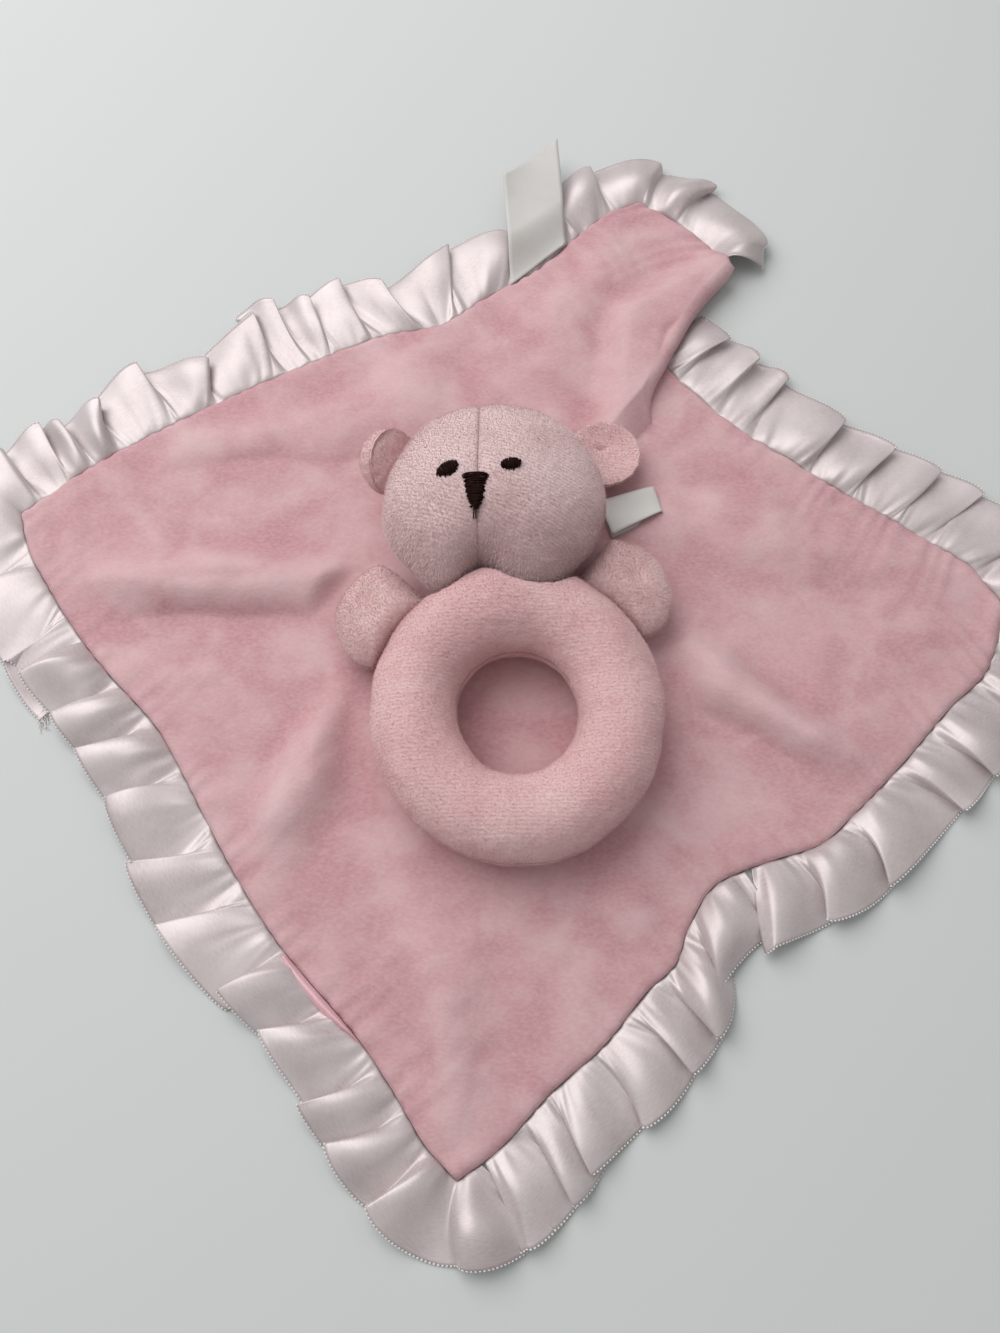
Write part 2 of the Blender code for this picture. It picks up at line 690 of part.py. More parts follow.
def room_beside(centre, way, outlines):
    """How far a level ray from a point outside can go before it meets one of the outlines."""
    nearest = HALF_DIAGONAL
    for outline in outlines:
        for start, end in zip(outline, outline[1:] + outline[:1]):
            edge = end - start
            across = way.x * edge.y - way.y * edge.x
            if abs(across) < 1e-9:
                continue
            offset = start - centre
            along = (offset.x * edge.y - offset.y * edge.x) / across
            share = (offset.x * way.y - offset.y * way.x) / across
            if along > 0 and 0 <= share <= 1:
                nearest = min(nearest, along)
    return nearest


def fit_beside(centre, local, reach, outlines):
    """Shrinks a level offset in step with the room there is in its direction."""
    level = local.to_2d()
    if level.length < 1e-7:
        return local
    room = room_beside(centre.to_2d(), level.normalized(), outlines)
    if room < reach:
        local.x *= room / reach
        local.y *= room / reach
    return local


def neck_pivot():
    return Vector((NECK_X, NECK_Y, NECK_HEIGHT))


def head_sizes(unit, inset):
    """Half sizes of the head in the direction of a unit vector: cheeks, the pinched chin seam, a jowl."""
    cheek = bell(unit.y + 0.25, 0.45)
    lobes = bell(abs(unit.x - 0.02) - 0.45, 0.28) * max(-unit.y, 0.0)
    pinch = bell(unit.x - FACE_SEAM_SHARE, 0.24) * max(-unit.y, 0.0) ** 2
    jowl = JOWL_SHARE * max(-unit.y, 0.0) * abs(unit.x) * (1 - unit.x)
    wide = (HEAD_HALF_WIDTH - inset) * (1 + 0.04 * cheek + jowl)
    swell = CHEEK_SHARE * lobes - CHIN_PINCH_SHARE * pinch + jowl
    tall = (HEAD_HALF_HEIGHT - inset) * (1 + swell)
    return wide, tall, HEAD_HALF_DEPTH - inset


def head_point(unit, inset=0.0):
    """Point of the head's surface in the direction of a unit vector, a little inside it by the inset."""
    wide, tall, deep = head_sizes(unit, inset)
    low = -(HEAD_HALF_DEPTH * BACK_FLAT_SHARE - inset)
    return HEAD_CENTRE + Vector((unit.x * wide, unit.y * tall, max(unit.z * deep, low)))


def out_of_head(point, clearance):
    """Moves a point that the head would press on out to just beside the head's surface."""
    offset = point - HEAD_CENTRE
    unit = offset.normalized()
    for _ in range(8):
        wide, tall, deep = head_sizes(unit, 0.0)
        unit = Vector((offset.x / wide, offset.y / tall, offset.z / deep)).normalized()
    wall = head_point(unit) - HEAD_CENTRE
    limit = wall.length + clearance
    if offset.length < limit:
        return HEAD_CENTRE + offset.normalized() * limit
    return point


def ball(segments, rings, cuts, cap=False, marks=()):
    """Unit ball cut by planes, each given by a point and the way of the side that goes, and marked along
    others."""
    net = bmesh.new()
    bmesh.ops.create_uvsphere(net, u_segments=segments, v_segments=rings, radius=1.0)
    for place, way in marks:
        bmesh.ops.bisect_plane(
            net, geom=net.verts[:] + net.edges[:] + net.faces[:], plane_co=place, plane_no=way
        )
    for place, way in cuts:
        result = bmesh.ops.bisect_plane(
            net,
            geom=net.verts[:] + net.edges[:] + net.faces[:],
            plane_co=place,
            plane_no=way,
            clear_outer=True,
        )
        if cap:
            rim = [item for item in result["geom_cut"] if isinstance(item, bmesh.types.BMEdge)]
            bmesh.ops.holes_fill(net, edges=rim, sides=0)
    bmesh.ops.recalc_face_normals(net, faces=net.faces[:])
    bmesh.ops.triangulate(net, faces=net.faces[:])
    return net


def shaped_object(name, net, shape, material_name, collection):
    for vert in net.verts:
        vert.co = shape(vert.co.copy())
    mesh = bpy.data.meshes.new(name)
    net.to_mesh(mesh)
    net.free()
    return mesh_object(name, mesh, material_name, collection)


def skin_object(name, net, shape, thickness, material_name, collection):
    """Skin: the net's surface at its place and again inside it, joined round the open rim. The shape gives
    the place of a net point at an inset from the outside."""
    outer = list(net.verts)
    units = [vert.co.copy() for vert in outer]
    faces = list(net.faces)
    rim = [edge for edge in net.edges if edge.is_boundary]
    net.verts.index_update()
    for vert, unit in zip(outer, units):
        vert.co = shape(unit, 0.0)
    inner = [net.verts.new(shape(unit, thickness)) for unit in units]
    for face in faces:
        net.faces.new([inner[vert.index] for vert in reversed(face.verts)])
    for edge in rim:
        loop = edge.link_loops[0]
        start, end = loop.vert, loop.link_loop_next.vert
        net.faces.new((end, start, inner[start.index], inner[end.index]))
    mesh = bpy.data.meshes.new(name)
    net.to_mesh(mesh)
    net.free()
    return mesh_object(name, mesh, material_name, collection)


def make_head(parts):
    half_gap = SKIN_CLEARANCE / 2 / HEAD_HALF_WIDTH
    back_gap = SKIN_CLEARANCE / 2 / HEAD_HALF_DEPTH
    front_cut = ((0, 0, BACK_SEAM_SHARE + back_gap), (0, 0, -1))
    skins = {
        "head_left_panel": [front_cut, ((FACE_SEAM_SHARE - half_gap, 0, 0), (1, 0, 0))],
        "head_right_panel": [front_cut, ((FACE_SEAM_SHARE + half_gap, 0, 0), (-1, 0, 0))],
        "head_back_panel": [((0, 0, BACK_SEAM_SHARE - back_gap), (0, 0, 1))],
    }
    for name, cuts in skins.items():
        skin_object(name, ball(24, 12, cuts), head_point, SKIN_THICKNESS, "velour", parts)


def make_fill_wads(parts, cutters):
    inset = SKIN_THICKNESS + SKIN_CLEARANCE
    gap = SKIN_CLEARANCE / 2 / HEAD_HALF_DEPTH
    bpy.ops.mesh.primitive_uv_sphere_add(
        segments=20, ring_count=10, radius=CAPSULE_RADIUS + CAPSULE_CLEARANCE, location=HEAD_CENTRE
    )
    cavity = as_cutter(bpy.context.object, cutters)
    cavity.name = "capsule_cavity"
    halves = {
        "head_fill_front": [((0, 0, gap), (0, 0, -1))],
        "head_fill_back": [((0, 0, -gap), (0, 0, 1))],
    }
    seams = [((FACE_SEAM_SHARE, 0, 0), (1, 0, 0)), ((0, 0, BACK_SEAM_SHARE), (0, 0, 1))]
    for name, cuts in halves.items():
        wad = shaped_object(
            name, ball(24, 12, cuts, True, seams), lambda unit: head_point(unit, inset), "fill", parts
        )
        cut(wad, cavity)


def capsule_point(unit, inset=0.0):
    return HEAD_CENTRE + unit * (CAPSULE_RADIUS - inset)


def make_rattle(parts):
    gap = SKIN_CLEARANCE / 2 / CAPSULE_RADIUS
    halves = {
        "rattle_capsule_front": [((0, 0, gap), (0, 0, -1))],
        "rattle_capsule_back": [((0, 0, -gap), (0, 0, 1))],
    }
    for name, cuts in halves.items():
        skin_object(name, ball(16, 8, cuts), capsule_point, CAPSULE_WALL, "capsule", parts)
    inner = CAPSULE_RADIUS - CAPSULE_WALL - BEAD_CLEARANCE - BEAD_RADIUS
    for index, (x, y) in enumerate(BEAD_PLACE_SHARES):
        level = Vector((x, y)) * inner
        depth = math.sqrt(inner ** 2 - level.length_squared)
        place = HEAD_CENTRE + Vector((level.x, level.y, -depth))
        net = bmesh.new()
        bmesh.ops.create_icosphere(net, subdivisions=1, radius=BEAD_RADIUS)
        bead = shaped_object(f"rattle_bead_{index + 1}", net, lambda point: point, "bead", parts)
        bead.location = place


def face_point(x, y, lift):
    """Point over the face at a place given in shares of the head's half width and height."""
    unit = Vector((x, y, math.sqrt(max(1 - x * x - y * y, 0.0))))
    place = head_point(unit)
    outward = Vector((
        unit.x / HEAD_HALF_WIDTH, unit.y / HEAD_HALF_HEIGHT, unit.z / HEAD_HALF_DEPTH
    )).normalized()
    return place + outward * lift


def face_patch(name, outline, centre, parts):
    """Thread patch that lies on the face: rings of points shrinking to its middle."""
    net = bmesh.new()
    rings = []
    for scale, lift in ((1.0, SKIN_CLEARANCE), (0.72, SKIN_CLEARANCE), (0.36, SKIN_CLEARANCE)):
        ring = []
        for x, y in outline:
            place = (
                centre[0] + x * scale / HEAD_HALF_WIDTH,
                centre[1] + y * scale / HEAD_HALF_HEIGHT,
            )
            ring.append(net.verts.new(face_point(*place, lift)))
        rings.append(ring)
    middle = net.verts.new(face_point(*centre, SKIN_CLEARANCE))
    count = len(outline)
    for outer, inner in zip(rings, rings[1:]):
        for index in range(count):
            following = (index + 1) % count
            net.faces.new((outer[index], outer[following], inner[following], inner[index]))
    for index in range(count):
        net.faces.new((rings[-1][index], rings[-1][(index + 1) % count], middle))
    patch = shaped_object(name, net, lambda point: point, "thread", parts)
    solidify(patch, THREAD_RELIEF, 1.0)


def make_face(parts):
    for name, centre in EYE_PLACE_SHARES.items():
        outline = []
        for index in range(12):
            angle = 2 * math.pi * index / 12
            height = math.sin(angle)
            flatter = 0.75 if height < 0 else 1.0
            outline.append((math.cos(angle) * EYE_HALF_WIDTH, height * flatter * EYE_HALF_HEIGHT))
        face_patch(f"eye_{name}", outline, centre, parts)
    top = NOSE_HEIGHT * 0.35
    foot = top - NOSE_HEIGHT
    narrow = NOSE_HALF_WIDTH * NOSE_TAPER_SHARE
    outline = [
        (-NOSE_HALF_WIDTH, top * 0.7), (-narrow, foot * 0.7), (-narrow * 0.5, foot), (narrow * 0.5, foot),
        (narrow, foot * 0.7), (NOSE_HALF_WIDTH, top * 0.7), (NOSE_HALF_WIDTH * 0.7, top),
        (-NOSE_HALF_WIDTH * 0.7, top),
    ]
    face_patch("nose", outline, NOSE_PLACE_SHARE, parts)


def ring_point(turn, around, inset=0.0):
    """Point of the ring's skin: turn goes round the ring from +X, around goes round its tube."""
    swell = 1 + NECK_SWELL_SHARE * max(math.sin(turn), 0.0) ** 2
    tube = RING_TUBE * swell - inset
    reach = math.cos(around) * tube
    level = max(math.sin(around) * tube, inset - RING_TUBE)
    place = RING_CENTRE + Vector((
        math.cos(turn) * (RING_MID_WIDTH + reach),
        math.sin(turn) * (RING_MID_HEIGHT + reach),
        level,
    ))
    return out_of_head(place, RING_CLEARANCE + inset)


def ring_net(turns, arounds, closed):
    """Net of the ring's skin, whose points hold the turn and the place round the tube."""
    net = bmesh.new()
    rows = []
    for index in range(turns):
        turn = 2 * math.pi * index / turns
        rows.append([net.verts.new((turn, around, 0.0)) for around in arounds])
    for index in range(turns):
        row = rows[index]
        following = rows[(index + 1) % turns]
        for column in range(len(arounds) if closed else len(arounds) - 1):
            beside = (column + 1) % len(arounds)
            net.faces.new((row[column], following[column], following[beside]))
            net.faces.new((row[column], following[beside], row[beside]))
    return net


def ring_place(point, inset=0.0):
    return ring_point(point.x, point.y, inset)


def make_ring(parts, pivot):
    inset = SKIN_THICKNESS + SKIN_CLEARANCE
    gap = SKIN_CLEARANCE / 2 / RING_TUBE
    steps = RING_AROUND // 2
    half = [gap + (math.pi - 2 * gap) * step / steps for step in range(steps + 1)]
    for name, start in (("ring_front_cover", 0.0), ("ring_back_cover", math.pi)):
        net = ring_net(RING_TURNS, [start + around for around in half], False)
        cover = skin_object(name, net, ring_place, SKIN_THICKNESS, "ring_velour", parts)
        hang(cover, pivot)
    whole = [2 * math.pi * step / RING_AROUND for step in range(RING_AROUND)]
    net = ring_net(RING_TURNS, whole, True)
    fill = shaped_object("ring_fill", net, lambda point: ring_place(point, inset), "fill", parts)
    hang(fill, pivot)


def hang(made, pivot):
    """Parents a piece to its joint's empty and keeps its place."""
    made.parent = pivot
    made.matrix_parent_inverse = pivot.matrix_world.inverted()


def make_pivot(name, place, collection):
    made = bpy.data.objects.new(name, None)
    made.empty_display_size = RING_TUBE
    collection.objects.link(made)
    made.matrix_world = Matrix.Translation(place)
    bpy.context.view_layer.update()
    return made


def arm_centre(name):
    x, y = ARM_PLACE_SHARES[name]
    return Vector((
        RING_CENTRE.x + x * (RING_MID_WIDTH + RING_TUBE),
        RING_CENTRE.y + y * RING_MID_HEIGHT,
        BEAR_FLOOR + ARM_HALF_DEPTH,
    ))


def arm_root(name):
    """Place where the arm is caught between the head and the ring."""
    centre = arm_centre(name)
    towards = Vector((NECK_X - centre.x, (NECK_Y - centre.y) / 2)).normalized()
    outlines = [plan_outline("head", ARM_CLEARANCE), plan_outline("ring", ARM_CLEARANCE)]
    room = min(room_beside(centre.to_2d(), towards, outlines), ARM_HALF_WIDTH)
    return centre + Vector((towards.x, towards.y, 0.0)) * room


def arm_point(name, unit, inset=0.0):
    centre = arm_centre(name)
    outlines = [plan_outline(part, ARM_CLEARANCE + inset) for part in ("head", "ring")]
    turned = Matrix.Rotation(math.radians(ARM_TURN_DEG[name]), 3, "Z")
    local = turned @ Vector((
        unit.x * (ARM_HALF_WIDTH - inset),
        unit.y * (ARM_HALF_LENGTH - inset),
        unit.z * (ARM_HALF_DEPTH - inset),
    ))
    level = unit.to_2d()
    if level.length > 1e-6:
        rim = level.normalized()
        reach = Vector((rim.x * (ARM_HALF_WIDTH - inset), rim.y * (ARM_HALF_LENGTH - inset))).length
        local = fit_beside(centre, local, reach, outlines)
    towards = (arm_root(name) - centre).normalized()
    share = max(local.dot(towards) / ARM_HALF_WIDTH, 0.0)
    local.z *= 1 - ARM_ROOT_SHARE * share ** 2
    return centre + local


def make_arms(parts):
    inset = SKIN_THICKNESS + ARM_FILL_CLEARANCE
    gap = SKIN_CLEARANCE / 2 / ARM_HALF_DEPTH
    for name in ("left", "right"):
        pivot = make_pivot(f"arm_{name}_pivot", arm_pivot(name), parts)
        for label, way in (("front", 1), ("back", -1)):
            net = ball(14, 10, [((0, 0, way * gap), (0, 0, -way))])
            skin = skin_object(
                f"arm_{name}_{label}",
                net,
                lambda unit, depth: arm_point(name, unit, depth),
                SKIN_THICKNESS,
                "ring_velour",
                parts,
            )
            hang(skin, pivot)
        fill = shaped_object(
            f"arm_{name}_fill",
            ball(14, 10, []),
            lambda unit: arm_point(name, unit, inset),
            "fill",
            parts,
        )
        hang(fill, pivot)


def arm_pivot(name):
    place = arm_root(name)
    place.z = BEAR_FLOOR + ARM_HALF_DEPTH * 2
    return place


def ear_centre(name):
    x, y = EAR_PLACE_SHARES[name]
    return Vector((
        HEAD_CENTRE.x + x * HEAD_HALF_WIDTH,
        HEAD_CENTRE.y + y * HEAD_HALF_HEIGHT,
        BEAR_FLOOR + EAR_HALF_DEPTH + EAR_CUP + EAR_LIFTS[name],
    ))


def ear_pivot(name):
    """Place where the ear's rim is caught in the head's seam."""
    centre = ear_centre(name)
    towards = (HEAD_CENTRE - centre).to_2d().normalized()
    room = room_beside(centre.to_2d(), towards, [plan_outline("head", SEAT_CLEARANCE)])
    place = centre.to_2d() + towards * room
    return Vector((place.x, place.y, centre.z))


def ear_point(name, unit, inset=0.0):
    centre = ear_centre(name)
    width = EAR_HALF_WIDTH - inset
    cup = EAR_CUP * (unit.to_2d().length_squared - 1)
    local = Vector((unit.x * width, unit.y * width, unit.z * (EAR_HALF_DEPTH - inset) + cup))
    place = centre + fit_beside(centre, local, width, [plan_outline("head", SEAT_CLEARANCE + inset)])
    pivot = ear_pivot(name)
    outward = (centre - HEAD_CENTRE).to_2d().normalized()
    axis = Vector((outward.y, -outward.x, 0.0))
    return pivot + Matrix.Rotation(math.radians(EAR_TILT_DEG[name]), 3, axis) @ (place - pivot)


def make_ears(parts):
    gap = SKIN_CLEARANCE / 2 / EAR_HALF_DEPTH
    for name in ("left", "right"):
        pivot = make_pivot(f"ear_{name}_pivot", ear_pivot(name), parts)
        for label, way in (("front", 1), ("back", -1)):
            net = ball(14, 8, [((0, 0, way * gap), (0, 0, -way))])
            panel = skin_object(
                f"ear_{name}_{label}",
                net,
                lambda unit, depth: ear_point(name, unit, depth),
                EAR_PANEL,
                "velour",
                parts,
            )
            hang(panel, pivot)


def head_label_base():
    x, y = HEAD_LABEL_PLACE_SHARE
    unit = Vector((x, y, 0.0)).normalized()
    return head_point(unit)


def make_labels(parts):
    base, along, out = seam_frame(CARE_LABEL_SEAM_SHARE)
    way = Matrix.Rotation(math.radians(CARE_LABEL_TURN_DEG), 3, "Z") @ out
    foot = along * CARE_LABEL_WIDTH / 2 / math.cos(math.radians(CARE_LABEL_TURN_DEG))
    low = BLANKET_TOP + LABEL_THICKNESS
    high = RIBBON_FLOOR + RIBBON_RISE + LABEL_THICKNESS * 3
    grid = []
    for shift in (-1.0, 0.0, 1.0):
        line = []
        for share in (0.0, 0.2, 0.5, 0.8, 1.0):
            place = base + foot * shift + out * SEAM_CLEARANCE + way * share * CARE_LABEL_LENGTH
            place.z = low + (high - low) * min(share * 2.5, 1.0)
            line.append(place)
        grid.append(line)
    pivot = make_pivot("care_label_pivot", care_label_pivot(), parts)
    label = grid_object("care_label", grid, "label", parts)
    solidify(label, LABEL_THICKNESS, 0.0)
    hang(label, pivot)
    base = head_label_base()
    way = Matrix.Rotation(math.radians(HEAD_LABEL_TURN_DEG), 3, "Z") @ Vector((1, 0, 0))
    cross = Vector((way.y, -way.x, 0))
    low = BEAR_FLOOR + LABEL_THICKNESS
    grid = []
    for shift in (0.5, -0.5):
        line = []
        for reach, height in HEAD_LABEL_LOOP_SHARES:
            place = base + way * (reach * HEAD_LABEL_LENGTH + SEAM_CLEARANCE)
            place += cross * HEAD_LABEL_WIDTH * shift
            place.z = low + height * HEAD_LABEL_LOOP
            line.append(place)
        grid.append(line)
    pivot = make_pivot("head_label_pivot", head_label_pivot(), parts)
    label = grid_object("head_label", grid, "label", parts)
    solidify(label, LABEL_THICKNESS, 0.0)
    hang(label, pivot)


def care_label_pivot():
    base, _, out = seam_frame(CARE_LABEL_SEAM_SHARE)
    place = base + out * SEAM_CLEARANCE
    place.z = BLANKET_TOP + LABEL_THICKNESS
    return place


def head_label_pivot():
    place = head_label_base()
    place.z = BEAR_FLOOR + LABEL_THICKNESS + HEAD_LABEL_LOOP
    return place


def hang_head(parts):
    """Hangs what the head carries on an empty at the neck."""
    pivot = make_pivot("head_pivot", neck_pivot(), parts)
    for made in list(parts.objects):
        if made != pivot and made.parent is None and made.name.startswith(HEAD_CARRIES):
            hang(made, pivot)


def make_tack(parts):
    place = Vector((NECK_X, NECK_Y + RING_OVERLAP * TACK_PLACE_SHARE, BEAR_FLOOR + TACK_HEIGHT / 2))
    net = bmesh.new()
    bmesh.ops.create_cone(
        net, cap_ends=True, segments=10, radius1=TACK_RADIUS * 1.3, radius2=TACK_RADIUS, depth=TACK_HEIGHT
    )
    tack = shaped_object("neck_tack_thread", net, lambda point: point + place, "pink_thread", parts)
    return tack


def centre_on_origin(parts, cutters):
    """Moves the whole object so that its box stands centred on the origin."""
    bpy.context.view_layer.update()
    graph = bpy.context.evaluated_depsgraph_get()
    lows = Vector((math.inf, math.inf, math.inf))
    highs = Vector((-math.inf, -math.inf, -math.inf))
    for made in parts.objects:
        if made.type != "MESH":
            continue
        shown = made.evaluated_get(graph)
        for vert in shown.data.vertices:
            place = shown.matrix_world @ vert.co
            for axis in range(3):
                lows[axis] = min(lows[axis], place[axis])
                highs[axis] = max(highs[axis], place[axis])
    shift = Vector((-(lows.x + highs.x) / 2, -(lows.y + highs.y) / 2, -lows.z))
    for made in list(parts.objects) + list(cutters.objects):
        if made.parent is None:
            made.matrix_world = Matrix.Translation(shift) @ made.matrix_world


def main():
    clear_scene()
    parts = make_collection("comfort_blanket_lovey")
    cutters = make_collection("cutters")
    make_blanket(parts)
    make_ruffle(parts)
    make_head(parts)
    make_fill_wads(parts, cutters)
    make_rattle(parts)
    make_face(parts)
    make_ring(parts, make_pivot("ring_pivot", neck_pivot(), parts))
    make_arms(parts)
    make_ears(parts)
    make_labels(parts)
    make_tack(parts)
    hang_head(parts)
    centre_on_origin(parts, cutters)


main()
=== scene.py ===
import math

import bmesh
import bpy
import numpy as np
from mathutils import Matrix, Vector, noise


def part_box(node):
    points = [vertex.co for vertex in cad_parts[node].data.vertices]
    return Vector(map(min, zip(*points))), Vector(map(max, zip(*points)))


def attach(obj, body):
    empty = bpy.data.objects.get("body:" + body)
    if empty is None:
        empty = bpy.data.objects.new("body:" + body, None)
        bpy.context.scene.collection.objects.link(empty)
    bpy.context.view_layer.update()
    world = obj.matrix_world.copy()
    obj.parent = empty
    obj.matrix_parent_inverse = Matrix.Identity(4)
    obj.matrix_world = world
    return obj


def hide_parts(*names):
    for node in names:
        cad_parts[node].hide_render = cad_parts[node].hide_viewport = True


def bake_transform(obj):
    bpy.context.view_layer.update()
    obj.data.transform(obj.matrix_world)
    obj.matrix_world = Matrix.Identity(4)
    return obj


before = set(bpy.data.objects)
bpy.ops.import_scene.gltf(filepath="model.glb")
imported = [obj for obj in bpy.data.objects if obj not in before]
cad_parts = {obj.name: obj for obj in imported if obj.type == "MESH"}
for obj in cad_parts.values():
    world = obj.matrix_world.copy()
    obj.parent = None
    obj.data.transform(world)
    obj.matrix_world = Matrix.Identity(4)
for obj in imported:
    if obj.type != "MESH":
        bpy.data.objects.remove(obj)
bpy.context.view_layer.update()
print("frame loaded")

# small helpers


def smoothStep(low, high, value):
    share = np.clip((value - low) / (high - low), 0.0, 1.0)
    return share * share * (3 - 2 * share)


def bell(distance, width):
    return np.exp(-((distance / width) ** 2))


def noiseAt(points, size, seed):
    # noise of about -1 to 1 at points in metres, with features of that size
    shift = Vector((seed * 3.7, seed * 1.3, seed * 2.1))
    return np.array([noise.noise(Vector(p) / size + shift) for p in points]) * 1.6


def curveThrough(points, knots, places):
    # smooth curve that passes each point at its knot
    points, knots = np.asarray(points, float), np.asarray(knots, float)
    places = np.clip(np.asarray(places, float), knots[0], knots[-1])
    slopes = np.empty_like(points)
    slopes[0] = (points[1] - points[0]) / (knots[1] - knots[0])
    slopes[-1] = (points[-1] - points[-2]) / (knots[-1] - knots[-2])
    slopes[1:-1] = (points[2:] - points[:-2]) / (knots[2:] - knots[:-2])[:, None]
    index = np.searchsorted(knots[1:-1], places, side="left")
    span = (knots[index + 1] - knots[index])[..., None]
    t = (places - knots[index])[..., None] / span
    a, b = points[index], points[index + 1]
    before, after = slopes[index] * span, slopes[index + 1] * span
    return (a * (2 * t ** 3 - 3 * t ** 2 + 1) + before * (t ** 3 - 2 * t ** 2 + t)
            + b * (3 * t ** 2 - 2 * t ** 3) + after * (t ** 3 - t ** 2))


def meshFrom(name, points, faces):
    mesh = bpy.data.meshes.new(name)
    mesh.from_pydata([tuple(p) for p in points], [], faces)
    mesh.update()
    made = bpy.data.objects.new(name, mesh)
    bpy.context.scene.collection.objects.link(made)
    mesh.shade_smooth()
    return made


def setUv(made, uv):
    # one texture place per vertex, in metres of cloth
    layer = made.data.uv_layers.new(name="cloth")
    loops = np.empty(len(made.data.loops), np.int32)
    made.data.loops.foreach_get("vertex_index", loops)
    layer.data.foreach_set("uv", np.asarray(uv, np.float32)[loops].ravel())


def setMark(made, name, values):
    mark = made.data.attributes.new(name, "FLOAT", "POINT")
    mark.data.foreach_set("value", np.asarray(values, np.float32))


def finishPiece(made, body, replaced, material):
    made.data.materials.clear()
    made.data.materials.append(material)
    if replaced:
        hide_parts(*replaced)
    if body:
        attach(made, body)
    return made


# materials: the colour, gloss and fine relief of each real cloth

def colour(code):
    # sRGB hex to linear
    parts = [int(code[i:i + 2], 16) / 255 for i in (1, 3, 5)]
    return tuple(c / 12.92 if c <= 0.04045 else ((c + 0.055) / 1.055) ** 2.4 for c in parts) + (1.0,)


def addNode(tree, kind, settings=None, inputs=None):
    # a node with its settings; an input is a value or another node's output
    node = tree.nodes.new(kind)
    for key, value in (settings or {}).items():
        setattr(node, key, value)
    for key, value in (inputs or {}).items():
        socket = node.inputs[key]
        if isinstance(value, bpy.types.NodeSocket):
            tree.links.new(value, socket)
        else:
            socket.default_value = value
    return node


def newMaterial(name, settings):
    made = bpy.data.materials.new(name)
    made.use_nodes = True
    tree = made.node_tree
    shader = tree.nodes["Principled BSDF"]
    for key, value in settings.items():
        shader.inputs[key].default_value = value
    return made, tree, shader


def objectPlace(tree):
    return addNode(tree, "ShaderNodeTexCoord").outputs["Object"]


def turnedPlace(tree, place, degrees, scale=(1.0, 1.0, 1.0)):
    return addNode(tree, "ShaderNodeMapping", None, {
        "Vector": place, "Rotation": (0, 0, math.radians(degrees)), "Scale": scale}).outputs[0]


def mathNode(tree, operation, *values):
    return addNode(tree, "ShaderNodeMath", {"operation": operation}, dict(enumerate(values))).outputs[0]


def mixColour(tree, share, first, second):
    return addNode(tree, "ShaderNodeMix", {"data_type": "RGBA"}, {0: share, 6: first, 7: second}).outputs[2]


def stretchShare(tree, value, low, high):
    # 0 to 1 as the value goes from low to high
    return addNode(tree, "ShaderNodeMapRange", None,
                   {"Value": value, "From Min": low, "From Max": high}).outputs[0]


def twoTone(tree, value, low, high, look):
    # the deep colour at a low value, the light one at a high value
    return mixColour(tree, stretchShare(tree, value, low, high), colour(look["deep"]), colour(look["light"]))


def noiseNode(tree, vector, size, detail=2.0, roughness=0.5, distortion=0.0):
    # noise with features of that size in metres
    return addNode(tree, "ShaderNodeTexNoise", None, {
        "Vector": vector, "Scale": 1.0 / size, "Detail": detail, "Roughness": roughness,
        "Distortion": distortion}).outputs[0]


def waveNode(tree, vector, way, size, distortion, detail=1.0, detailScale=1.0):
    # bands that repeat at that size in metres; at scale 1 they repeat at 0.314 m
    return addNode(tree, "ShaderNodeTexWave", {"bands_direction": way}, {
        "Vector": vector, "Scale": 0.314 / size, "Distortion": distortion, "Detail": detail,
        "Detail Scale": detailScale}).outputs["Fac"]


def finishShader(made, tree, shader, tone, height, strength, depth):
    # colour, and relief of that depth in metres
    tree.links.new(tone, shader.inputs["Base Color"])
    bump = addNode(tree, "ShaderNodeBump", None, {"Strength": strength, "Distance": depth, "Height": height})
    tree.links.new(bump.outputs[0], shader.inputs["Normal"])
    return made


